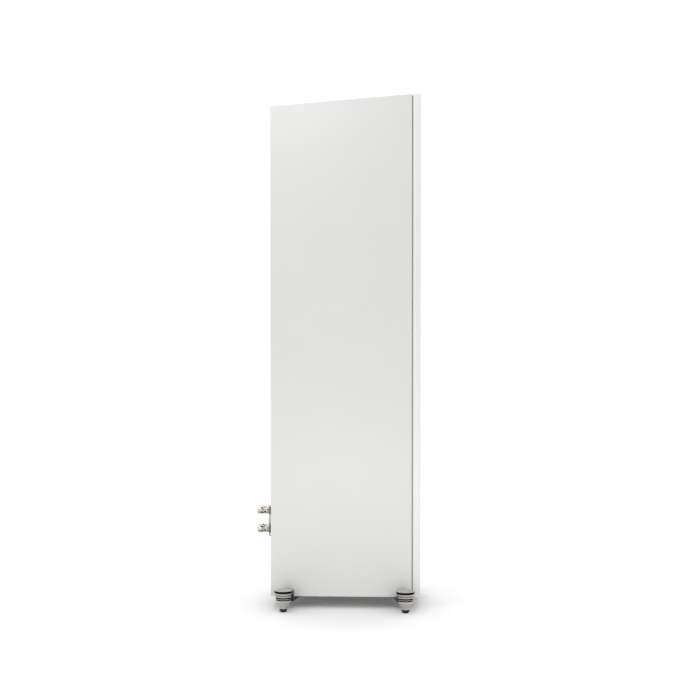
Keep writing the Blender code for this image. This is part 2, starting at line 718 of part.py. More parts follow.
# Each post stacks a collar, the link, a washer and the knob on a stud that is moulded into the plate.
def build_terminals(rear_panel):
    link_start = COLLAR + GAP
    washer_start = link_start + LINK_THICKNESS + GAP
    knob_start = washer_start + WASHER + GAP
    stud_end = knob_start + KNOB_THREAD - 0.0015
    hole = STUD_RADIUS + RUNNING
    turn = Matrix.Rotation(FACING_BACK[0], 4, "X")
    posts = [moved_to(x, REAR_Y, z) @ turn for _, x, z in post_places()]

    wide, tall = (size / 2 for size in TERMINAL_PLATE_SIZE)
    low = (-wide, REAR_Y - TERMINAL_PLATE, TERMINAL_HEIGHT - tall)
    high = (wide, REAR_Y, TERMINAL_HEIGHT + tall)
    plate = add_part("terminal_plate", box("terminal_plate", low, high), BLACK_PLASTIC)
    sunk = -TERMINAL_PLATE / 2
    boss = -TERMINAL_PLATE - STUD_BOSS
    insert = [
        (0, -STUD_TAIL),
        (STUD_RADIUS, -STUD_TAIL),
        (STUD_RADIUS, boss),
        (STUD_BOSS_RADIUS, boss),
        (STUD_BOSS_RADIUS, sunk),
        (COLLAR_RADIUS, sunk),
        (COLLAR_RADIUS, COLLAR),
        (STUD_RADIUS, COLLAR),
        (STUD_RADIUS, stud_end),
        (0, stud_end),
    ]
    inserts = repeated("post_inserts", turned("insert", insert, POST_SIDES), posts)
    combine(plate, add_guide("post_inserts", inserts), "UNION")
    edge = TERMINAL_FRAME / 2
    corners = [(sx * (wide - edge), sz * (tall - edge)) for sx in (-1, 1) for sz in (-1, 1)]
    places = [(x, REAR_Y, TERMINAL_HEIGHT + z) for x, z in corners]
    drill("terminal_screw_holes", places, FACING_FRONT, (plate, rear_panel))

    bore = [(0, COLLAR), (hole, COLLAR), (hole, washer_start + WASHER), (0, washer_start + WASHER)]
    bores = add_guide("link_bores", repeated("link_bores", turned("link_bore", bore, POST_SIDES), posts))
    half = POST_ROW_PITCH / 2
    end = LINK_WIDTH / 2
    angles = [pi * step / 6 for step in range(7)]
    outline = [(end * cos(angle), half + end * sin(angle)) for angle in angles]
    outline += [(-x, -z) for x, z in outline]
    face = REAR_Y + link_start
    for name, side in (("jumper_link_left", -1), ("jumper_link_right", 1)):
        centre = side * POST_COLUMN_PITCH / 2
        moved = [(centre + x, TERMINAL_HEIGHT + z) for x, z in outline]
        strap = extruded(name, moved, "Y", face, face + LINK_THICKNESS)
        combine(add_part(name, strap, BRIGHT_NICKEL), bores, "DIFFERENCE")

    washer = [(hole, 0), (WASHER_RADIUS, 0), (WASHER_RADIUS, WASHER), (hole, WASHER)]
    length = POST_REACH - knob_start
    edge = KNOB_RADIUS - KNOB_EDGE
    waist = KNOB_RADIUS - KNOB_WAIST
    knob = [
        (hole, 0),
        (edge, 0),
        (KNOB_RADIUS, KNOB_EDGE),
        (KNOB_RADIUS, length * 0.3),
        (waist, length * 0.34),
        (waist, length * 0.42),
        (KNOB_RADIUS, length * 0.46),
        (KNOB_RADIUS, length - KNOB_EDGE),
        (edge, length),
        (SOCKET_RADIUS, length),
        (SOCKET_RADIUS, KNOB_THREAD),
        (hole, KNOB_THREAD),
    ]
    for name, x, z in post_places():
        axis = add_object("post_axis_" + name, None, None, (x, REAR_Y, z), FACING_BACK)
        ring = turned("washer", washer, POST_SIDES)
        add_part("post_washer_" + name, ring, BRIGHT_NICKEL, axis, (0, 0, washer_start))
        grip = turned("knob", knob, POST_SIDES)
        add_part("post_knob_" + name, grip, BRIGHT_NICKEL, axis, (0, 0, knob_start))


def foot_places():
    front = FRONT_Y + FOOT_INSET
    rear = REAR_Y - FOOT_INSET
    side = SIDE_X + FOOT_OUT
    return [
        ("front_left", -side, front, ARM_ANGLE),
        ("front_right", side, front, pi - ARM_ANGLE),
        ("rear_left", -side, rear, -ARM_ANGLE),
        ("rear_right", side, rear, pi + ARM_ANGLE),
    ]


# Each foot stacks a rubber tip, a threaded spindle with a cone and a band, the arm's eye and a cap.
def build_feet(bottom_panel):
    cone_start = TIP_HEIGHT + GAP
    cone_top = cone_start + CONE_HEIGHT
    band_start = cone_top + BAND_GROOVE
    band_top = band_start + BAND
    eye_start = band_top + GAP
    eye_top = eye_start + EYE
    cap_start = eye_top + GAP
    cap_top = cap_start + FOOT_CAP
    stud_top = cap_start + FOOT_STUD_RISE
    bore = FOOT_STUD_RADIUS + RUNNING
    plate_top = BOTTOM_Z - GAP
    plate_bottom = plate_top - ARM_PLATE
    arm_end = ARM_LENGTH - ARM_WIDTH / 2

    tip = [
        (0, 0),
        (TIP_SOLE_RADIUS, 0),
        (TIP_RADIUS, TIP_HEIGHT * 0.6),
        (TIP_RADIUS, TIP_HEIGHT),
        (PIN_RADIUS + RUNNING, TIP_HEIGHT),
        (PIN_RADIUS + RUNNING, TIP_SOLE),
        (0, TIP_SOLE),
    ]
    spindle = [
        (0, TIP_SOLE + GAP),
        (PIN_RADIUS, TIP_SOLE + GAP),
        (PIN_RADIUS, cone_start),
        (CONE_BOTTOM_RADIUS, cone_start),
        (CONE_TOP_RADIUS, cone_top - 0.001),
        (CONE_TOP_RADIUS, cone_top),
        (CONE_TOP_RADIUS - BAND_GROOVE, cone_top),
        (CONE_TOP_RADIUS - BAND_GROOVE, band_start),
        (BAND_RADIUS, band_start),
        (BAND_RADIUS, band_top),
        (FOOT_STUD_RADIUS, band_top),
        (FOOT_STUD_RADIUS, stud_top),
        (0, stud_top),
    ]
    cap = [
        (0, cap_top - FOOT_CAP_WALL),
        (bore, cap_top - FOOT_CAP_WALL),
        (bore, cap_start),
        (FOOT_CAP_RADIUS, cap_start),
        (FOOT_CAP_RADIUS, cap_top - 0.0012),
        (FOOT_CAP_RADIUS - 0.0012, cap_top - 0.0004),
        (0, cap_top),
    ]
    arm_side = [
        (0, eye_start),
        (RISER_START, eye_start),
        (RISER_START, plate_bottom),
        (arm_end, plate_bottom),
        (arm_end, plate_top),
        (RISER_START + RISER, plate_top),
        (RISER_START + RISER, eye_top),
        (0, eye_top),
    ]
    eye = [(0, eye_start), (EYE_RADIUS, eye_start), (EYE_RADIUS, eye_top), (0, eye_top)]
    toe = [(0, plate_bottom), (ARM_WIDTH / 2, plate_bottom), (ARM_WIDTH / 2, plate_top), (0, plate_top)]
    stud_hole = [(0, eye_start - 0.01), (bore, eye_start - 0.01), (bore, eye_top + 0.01), (0, eye_top + 0.01)]
    rooted = plate_bottom + ARM_PLATE / 2
    tall = BOTTOM_Z + ARM_STUD
    stud = [(0, rooted), (ARM_STUD_RADIUS, rooted), (ARM_STUD_RADIUS, tall), (0, tall)]
    wide = ARM_STUD_RADIUS + RUNNING
    socket = [(0, BOTTOM_Z - 0.01), (wide, BOTTOM_Z - 0.01), (wide, tall + GAP), (0, tall + GAP)]

    for name, x, y, angle in foot_places():
        axis = add_object("foot_axis_" + name, None, None, (x, y, 0), (0, 0, angle))
        bar = extruded("arm", arm_side, "Y", -ARM_WIDTH / 2, ARM_WIDTH / 2)
        arm = add_part("foot_arm_" + name, bar, BLACK_CAST, axis)
        combine(arm, add_guide("eye_" + name, turned("eye", eye, FOOT_SIDES), axis), "UNION")
        combine(arm, add_guide("toe_" + name, turned("toe", toe, FOOT_SIDES), axis, (arm_end, 0, 0)), "UNION")
        drill_hole = add_guide("stud_hole_" + name, turned("stud_hole", stud_hole, FOOT_SIDES), axis)
        combine(arm, drill_hole, "DIFFERENCE")
        places = [moved_to(place, 0) for place in ARM_STUD_PLACES]
        studs = repeated("arm_studs", turned("stud", stud, SCREW_SIDES), places)
        combine(arm, add_guide("arm_studs_" + name, studs, axis), "UNION")
        sockets = repeated("arm_sockets", turned("socket", socket, SCREW_SIDES), places)
        combine(bottom_panel, add_guide("arm_sockets_" + name, sockets, axis), "DIFFERENCE")
        add_part("foot_spindle_" + name, turned("spindle", spindle, FOOT_SIDES), SATIN_METAL, axis)
        add_part("foot_tip_" + name, turned("tip", tip, FOOT_SIDES), BLACK_RUBBER, axis)
        add_part("foot_cap_" + name, turned("cap", cap, FOOT_SIDES), SATIN_METAL, axis)


def board_top():
    return FLOOR_Z + GAP + BOARD_LEG + BOARD


# The crossover's board on four legs, with its capacitors, and its coil as a piece of its own.
def build_crossover():
    wide, deep = (size / 2 for size in BOARD_SIZE)
    middle = (BAFFLE_BACK_Y + REAR_INNER_Y) / 2
    low = (-wide, middle - deep, board_top() - BOARD)
    high = (wide, middle + deep, board_top())
    board = add_part("crossover_board", box("crossover_board", low, high), CIRCUIT_BOARD)
    half = BOARD_LEG_WIDTH / 2
    leg = box("leg", (-half, -half, FLOOR_Z + GAP), (half, half, board_top() - BOARD / 2))
    across, along = wide - BOARD_LEG_INSET, deep - BOARD_LEG_INSET
    corners = [(sx * across, middle + sy * along) for sx in (-1, 1) for sy in (-1, 1)]
    legs = repeated("board_legs", leg, [moved_to(x, y) for x, y in corners])
    combine(board, add_guide("board_legs", legs), "UNION")
    half = CAPACITOR_LENGTH / 2
    side = [(0, -half), (CAPACITOR_RADIUS, -half), (CAPACITOR_RADIUS, half), (0, half)]
    can = turned("can", side, POST_SIDES)
    seat = board_top() - BOARD / 2 + CAPACITOR_RADIUS
    lying = [moved_to(x, middle + y, seat) @ Matrix.Rotation(pi / 2, 4, "Y") for x, y in CAPACITOR_PLACES]
    combine(board, add_guide("capacitors", repeated("capacitors", can, lying)), "UNION")

    seat = board_top() + GAP
    top = seat + COIL_HEIGHT
    coil = [(COIL_BORE, seat), (COIL_RADIUS, seat), (COIL_RADIUS, top), (COIL_BORE, top)]
    place = (COIL_PLACE[0], middle + COIL_PLACE[1], 0)
    add_part("crossover_coil", turned("crossover_coil", coil, FOOT_SIDES), COPPER, None, place)


# Where the loom to the drivers runs up through the braces and the shelf.
def wire_column():
    return -INNER_X / 2, (BAFFLE_BACK_Y + REAR_INNER_Y) / 2


# A Catmull-Rom curve through the route's points.
def smooth_route(points):
    route = [Vector(point) for point in points]
    padded = [route[0] * 2 - route[1], *route, route[-1] * 2 - route[-2]]
    curve = []
    for a, b, c, d in zip(padded, padded[1:], padded[2:], padded[3:]):
        for step in range(WIRE_STEPS):
            t = step / WIRE_STEPS
            bend = (a * 2 - b * 5 + c * 4 - d) * t * t
            twist = (b * 3 - a - c * 3 + d) * t * t * t
            curve.append((b * 2 + (c - a) * t + bend + twist) / 2)
    return [*curve, route[-1]]


def wire_mesh(name, points):
    cable = bpy.data.curves.new(name, "CURVE")
    cable.dimensions = "3D"
    cable.bevel_depth = WIRE_RADIUS
    cable.bevel_resolution = 1
    cable.use_fill_caps = True
    run = cable.splines.new("POLY")
    route = smooth_route(points)
    run.points.add(len(route) - 1)
    for knot, point in zip(run.points, route):
        knot.co = (*point, 1.0)
    source = bpy.data.objects.new(name, cable)
    shape = bmesh.new()
    shape.from_mesh(bpy.data.meshes.new_from_object(source))
    bmesh.ops.remove_doubles(shape, verts=shape.verts, dist=1e-6)
    bpy.data.objects.remove(source)
    return to_mesh(name, shape)


# A trunk from the board to the tweeter, with one branch to each cone driver, and the input lead.
def build_wiring():
    x, y = wire_column()
    board = board_top() + WIRE_RADIUS / 4
    tweeter_z = FRONT_TOP_Z - TWEETER_DROP
    tweeter_side = -TWEETER_MAGNET_RADIUS - WIRE_RADIUS / 2
    tweeter_y = BAFFLE_BACK_Y + WIRE_CLEARANCE + WIRE_RADIUS
    trunk = [
        (x, y, board),
        (x, y, (board + LOWER_BRACE_Z) / 2),
        (x, y, LOWER_BRACE_Z),
        (x, y, UPPER_BRACE_Z),
        (x, y, SHELF_Z),
        (x, y, tweeter_z - 0.06),
        (x - 0.012, (y + tweeter_y) / 2, tweeter_z - 0.006),
        (tweeter_side - 0.010, tweeter_y + 0.006, tweeter_z),
        (tweeter_side, tweeter_y, tweeter_z),
    ]
    loom = add_part("internal_wiring", wire_mesh("internal_wiring", trunk), CABLE_SHEATH)
    branches = (
        ("lower", WOOFER, LOWER_WOOFER_DROP),
        ("upper", WOOFER, UPPER_WOOFER_DROP),
        ("middle", MIDRANGE, MIDRANGE_DROP),
    )
    for tag, spec, drop in branches:
        height = FRONT_TOP_Z - drop
        depth = FRONT_Y + spec["basket_depth"] - spec["wall"]
        side = -spec["waist_radius"] - WIRE_RADIUS
        route = [
            (x, y + WIRE_RADIUS / 2, height - 0.03),
            (x - 0.006, (y * 2 + depth) / 3, height - 0.012),
            (side - 0.010, depth + 0.008, height),
            (side, depth, height),
        ]
        combine(loom, add_guide("branch_" + tag, wire_mesh("branch_" + tag, route)), "UNION")

    _, post_x, post_z = post_places()[0]
    tail = REAR_Y - STUD_TAIL - GAP
    landing = y + BOARD_SIZE[1] / 2 - BOARD_LEG_INSET
    lead = [
        (post_x, tail, post_z),
        (post_x, tail - LEAD_RUN, post_z),
        (post_x, tail - LEAD_RUN * 3, post_z - 0.005),
        (post_x, (tail + landing) / 2, (post_z + board) / 2),
        (post_x, landing, board + 0.02),
        (post_x, landing, board),
    ]
    add_part("input_lead", wire_mesh("input_lead", lead), CABLE_SHEATH)


def main():
    clear_scene()
    bottom_panel = build_panels()
    rear_panel = build_rear_panel()
    baffle = build_baffle()
    build_inner_boards()
    build_lining()
    faceplate, screws = build_tweeter(FRONT_TOP_Z - TWEETER_DROP, baffle)
    holed = [baffle, faceplate]
    drivers = (
        ("midrange", MIDRANGE, MIDRANGE_DROP),
        ("woofer_upper", WOOFER, UPPER_WOOFER_DROP),
        ("woofer_lower", WOOFER, LOWER_WOOFER_DROP),
    )
    for tag, spec, drop in drivers:
        basket, places = build_cone_driver(tag, spec, FRONT_TOP_Z - drop, baffle)
        holed.append(basket)
        screws += places
    drill("driver_screw_holes", screws, FACING_BACK, holed)
    build_port()
    build_terminals(rear_panel)
    build_feet(bottom_panel)
    build_crossover()
    build_wiring()
    bpy.context.view_layer.update()


main()
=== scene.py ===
import math
import bpy
from mathutils import Matrix, Vector


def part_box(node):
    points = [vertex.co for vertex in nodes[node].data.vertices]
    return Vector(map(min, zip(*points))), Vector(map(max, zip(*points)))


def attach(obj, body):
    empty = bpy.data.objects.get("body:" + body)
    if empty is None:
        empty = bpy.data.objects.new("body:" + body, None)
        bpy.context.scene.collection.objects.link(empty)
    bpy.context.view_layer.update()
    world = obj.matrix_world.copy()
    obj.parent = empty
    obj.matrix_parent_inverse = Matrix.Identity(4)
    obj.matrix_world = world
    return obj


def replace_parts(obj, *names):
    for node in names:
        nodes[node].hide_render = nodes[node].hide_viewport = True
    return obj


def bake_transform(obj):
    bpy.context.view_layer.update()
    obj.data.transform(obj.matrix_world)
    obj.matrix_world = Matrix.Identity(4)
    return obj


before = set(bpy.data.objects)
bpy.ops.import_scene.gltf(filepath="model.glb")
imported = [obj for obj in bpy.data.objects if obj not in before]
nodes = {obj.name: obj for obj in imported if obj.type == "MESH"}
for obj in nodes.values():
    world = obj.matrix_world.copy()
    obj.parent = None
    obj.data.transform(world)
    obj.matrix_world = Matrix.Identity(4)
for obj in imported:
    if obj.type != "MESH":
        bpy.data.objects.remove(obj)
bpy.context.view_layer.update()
print("frame loaded:", len(nodes), "nodes")

gap = 0.0003  # clearance between two pieces that touch
back = Vector((0, 1, 0))
forward = Vector((0, -1, 0))
up = Vector((0, 0, 1))


# small helpers for modelling

def pickNothing():
    if bpy.context.object and bpy.context.object.mode != "OBJECT":
        bpy.ops.object.mode_set(mode="OBJECT")
    bpy.ops.object.select_all(action="DESELECT")


# makes one piece the one that operators and edit mode work on
def makeActive(piece):
    pickNothing()
    bpy.context.view_layer.objects.active = piece
    piece.select_set(True)


def editAll():
    bpy.ops.object.mode_set(mode="EDIT")
    bpy.ops.mesh.select_all(action="SELECT")


def pushFaces(x, y, z):
    bpy.ops.mesh.extrude_region_move(TRANSFORM_OT_translate={"value": (x, y, z)})


def roundEdges(width, segments):
    bpy.ops.mesh.bevel(offset=width, segments=segments, affect="EDGES")


# picks the faces, edges or vertices of the active piece whose middle passes the test
def pickParts(kind, test):
    bpy.ops.object.mode_set(mode="EDIT")
    bpy.ops.mesh.select_mode(type=kind)
    bpy.ops.mesh.select_all(action="DESELECT")
    bpy.ops.object.mode_set(mode="OBJECT")
    piece = bpy.context.object
    mesh, place = piece.data, piece.matrix_world
    if kind == "FACE":
        for face in mesh.polygons:
            face.select = test(place @ face.center, face.normal)
    elif kind == "EDGE":
        for edge in mesh.edges:
            first, second = (place @ mesh.vertices[i].co for i in edge.vertices)
            edge.select = test((first + second) / 2, second - first)
    else:
        for vertex in mesh.vertices:
            vertex.select = test(place @ vertex.co, vertex.normal)
    bpy.ops.object.mode_set(mode="EDIT")


# leaves a finished piece at the origin, its place in its mesh
def finishPiece(name, smoothAngle=32):
    pickNothing()
    piece = bpy.context.object
    piece.select_set(True)
    bpy.ops.object.transform_apply(location=True, rotation=True, scale=True)
    bpy.ops.object.shade_smooth_by_angle(angle=math.radians(smoothAngle))
    piece.name = piece.data.name = name
    return piece


# turns a profile of (radius, distance along the axis) about that axis, into one closed skin
def turnedPiece(name, profile, centre, axis, steps, smoothAngle=32):
    pickNothing()
    centre = Vector(centre)
    across = Vector((1, 0, 0))
    spots = [centre + across * radius + axis * along for radius, along in profile]
    bpy.ops.mesh.primitive_plane_add(size=0.001, location=spots[0])
    bpy.ops.object.mode_set(mode="EDIT")
    bpy.ops.mesh.select_mode(type="VERT")
    bpy.ops.mesh.select_all(action="SELECT")
    bpy.ops.mesh.merge(type="CENTER")
    ring = spots + [spots[0]] if profile[0][0] > 0 else spots
    for here, there in zip(ring, ring[1:]):
        bpy.ops.mesh.extrude_vertices_move(TRANSFORM_OT_translate={"value": there - here})
    bpy.ops.mesh.select_all(action="SELECT")
    bpy.ops.mesh.spin(steps=steps, angle=math.tau, center=centre, axis=axis)
    bpy.ops.mesh.select_all(action="SELECT")
    bpy.ops.mesh.remove_doubles(threshold=0.000002)
    bpy.ops.mesh.normals_make_consistent(inside=False)
    piece = finishPiece(name, smoothAngle)
    layTurnedMap(piece, centre, axis)
    return piece


# a map of a turned piece: turns around the axis, and metres along its surface
def layTurnedMap(piece, centre, axis):
    mesh = piece.data
    layer = mesh.uv_layers.active or mesh.uv_layers.new(name="turned")
    layer.name = "turned"
    side = axis.cross(Vector((1, 0, 0)))
    for face in mesh.polygons:
        middle = face.center - centre
        about = math.atan2(middle.dot(side), middle.x)
        for corner in face.loop_indices:
            spot = mesh.vertices[mesh.loops[corner].vertex_index].co - centre
            radius = math.hypot(spot.dot(side), spot.x)
            turn = math.atan2(spot.dot(side), spot.x) if radius > 1e-6 else about
            turn += math.tau * round((about - turn) / math.tau)
            layer.data[corner].uv = (turn / math.tau, radius + spot.dot(axis))


def boardPiece(name, low, high, edge=0, segments=0, tops=None):
    pickNothing()
    low, high = Vector(low), Vector(high)
    bpy.ops.mesh.primitive_cube_add(size=1, location=(low + high) / 2, scale=high - low)
    bpy.ops.object.transform_apply(location=False, rotation=False, scale=True)
    if tops:  # the top follows the cabinet's slope
        for y in (low.y, high.y):
            pickParts("VERT", lambda spot, _: spot.z > (low.z + high.z) / 2 and abs(spot.y - y) < 1e-5)
            bpy.ops.transform.translate(value=(0, 0, tops(y) - high.z))
    if edge:
        editAll()
        roundEdges(edge, segments)
    return finishPiece(name)


def cutAway(piece, cutter):
    makeActive(piece)
    cut = piece.modifiers.new("cut", "BOOLEAN")
    cut.operation = "DIFFERENCE"
    cut.solver = "EXACT"
    cut.object = cutter
    bpy.ops.object.modifier_apply(modifier=cut.name)
    bpy.data.objects.remove(cutter)


# cuts a round hole, or a socket with a few sides
def cutHole(piece, sides, radius, depth, place, turn=(0, 0, 0)):
    pickNothing()
    bpy.ops.mesh.primitive_cylinder_add(vertices=sides, radius=radius, depth=depth,
                                        location=place, rotation=turn)
    cutAway(piece, finishPiece("cutter"))


def joinPieces(pieces):
    pickNothing()
    for piece in pieces:
        piece.select_set(True)
    bpy.context.view_layer.objects.active = pieces[0]
    bpy.ops.object.join()
    return bpy.context.object


# a copy with its own mesh, moved by a matrix
def copyPiece(piece, name, place):
    made = piece.copy()
    made.data = piece.data.copy()
    made.name = made.data.name = name
    bpy.context.collection.objects.link(made)
    made.data.transform(place)
    return made


def smoothAgain(piece, angle=32):
    makeActive(piece)
    bpy.ops.object.shade_smooth_by_angle(angle=math.radians(angle))


def dress(piece, look):
    piece.data.materials.clear()
    piece.data.materials.append(finish[look])
    return piece


# a second finish on the faces whose middle passes the test
def paintFaces(piece, look, test):
    piece.data.materials.append(finish[look])
    last = len(piece.data.materials) - 1
    for face in piece.data.polygons:
        if test(face.center, face.normal):
            face.material_index = last


def arc(centre, radii, start, end, count):
    turns = [math.radians(start + (end - start) * step / count) for step in range(count + 1)]
    return [(centre[0] + radii[0] * math.cos(t), centre[1] + radii[1] * math.sin(t)) for t in turns]


# profile points, given in millimetres from a radius and a distance along the axis
def pointsFrom(radius, along, *moves):
    return [(radius + out / 1000, along + far / 1000) for out, far in moves]


def middleOf(node):
    low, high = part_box(node)
    return (low + high) / 2


# small helpers for finishes

def linear(hexText):
    parts = [int(hexText[i:i + 2], 16) / 255 for i in (1, 3, 5)]
    return (*[p / 12.92 if p <= 0.04045 else ((p + 0.055) / 1.055) ** 2.4 for p in parts], 1.0)


def addNode(tree, kind, settings=None, links=None):
    node = tree.nodes.new(kind)
    for name, value in (settings or {}).items():
        if isinstance(name, int) or name in node.inputs:
            node.inputs[name].default_value = value
        else:
            setattr(node, name, value)
    for name, source in (links or {}).items():
        tree.links.new(source, node.inputs[name])
    return node


# grain gives the fine height: noise unless the finish says cells, bands along one axis, or a weave of two bands
def grainHeight(tree, look, where):
    grain, size = look.get("grain", "noise"), look["grainMm"]
    if grain == "cells":
        cells = addNode(tree, "ShaderNodeTexVoronoi", {"Scale": 1000 / size}, {"Vector": where})
        return cells.outputs["Distance"]
    if grain == "noise":
        settings = {"Scale": 1000 / size, "Detail": 5.0, "Roughness": 0.6}
        return addNode(tree, "ShaderNodeTexNoise", settings, {"Vector": where}).outputs["Fac"]
    waves = []
    for axis in grain.split("+"):
        settings = {"bands_direction": axis, "Scale": 314.16 / size, "Distortion": look.get("wander", 0.4)}
        settings.update({"Detail": 2.0, "Detail Scale": 0.6})
        waves.append(addNode(tree, "ShaderNodeTexWave", settings, {"Vector": where}).outputs["Fac"])
    if len(waves) == 1:
        return waves[0]
    return addNode(tree, "ShaderNodeMath", {"operation": "MULTIPLY"}, {0: waves[0], 1: waves[1]}).outputs[0]


def makeFinish(name, look):
    material = bpy.data.materials.new(name)
    material.use_nodes = True
    tree = material.node_tree
    shader = tree.nodes["Principled BSDF"]
    for socket, value in look.get("shader", {}).items():
        shader.inputs[socket].default_value = value
    body = addNode(tree, "ShaderNodeTexCoord").outputs["Object"]
    where = body
    if look.get("turned"):
        where = addNode(tree, "ShaderNodeUVMap", {"uv_map": "turned"}).outputs["UV"]
    if look.get("stretch"):  # grain drawn out along an axis, or turned on the piece
        settings = {"Scale": look["stretch"], "Rotation": look.get("tilt", (0, 0, 0))}
        where = addNode(tree, "ShaderNodeMapping", settings, {"Vector": where}).outputs["Vector"]
    patches = addNode(tree, "ShaderNodeTexNoise",
                      {"Scale": 1000 / look["patchMm"], "Detail": 6.0}, {"Vector": body})
    height = grainHeight(tree, look, where)
    share = addNode(tree, "ShaderNodeMix", {"data_type": "FLOAT", 0: look.get("grainShare", 0.5)},
                    {2: patches.outputs["Fac"], 3: height})
    tones = addNode(tree, "ShaderNodeMapRange",
                    {"From Min": 0.25, "From Max": 0.75}, {"Value": share.outputs[0]})
    colour = addNode(tree, "ShaderNodeMix",
                     {"data_type": "RGBA", 6: linear(look["colours"][0]), 7: linear(look["colours"][1])},
                     {0: tones.outputs[0]})
    rough = addNode(tree, "ShaderNodeMapRange",
                    {"To Min": look["roughness"][0], "To Max": look["roughness"][1]}, {"Value": share.outputs[0]})
    bump = addNode(tree, "ShaderNodeBump",
                   {"Strength": look.get("bump", 0.5), "Distance": look["bumpMm"] / 1000}, {"Height": height})
    tree.links.new(colour.outputs[2], shader.inputs["Base Color"])
    tree.links.new(rough.outputs[0], shader.inputs["Roughness"])
    tree.links.new(bump.outputs["Normal"], shader.inputs["Normal"])
    return material


# finishes, each from its real material

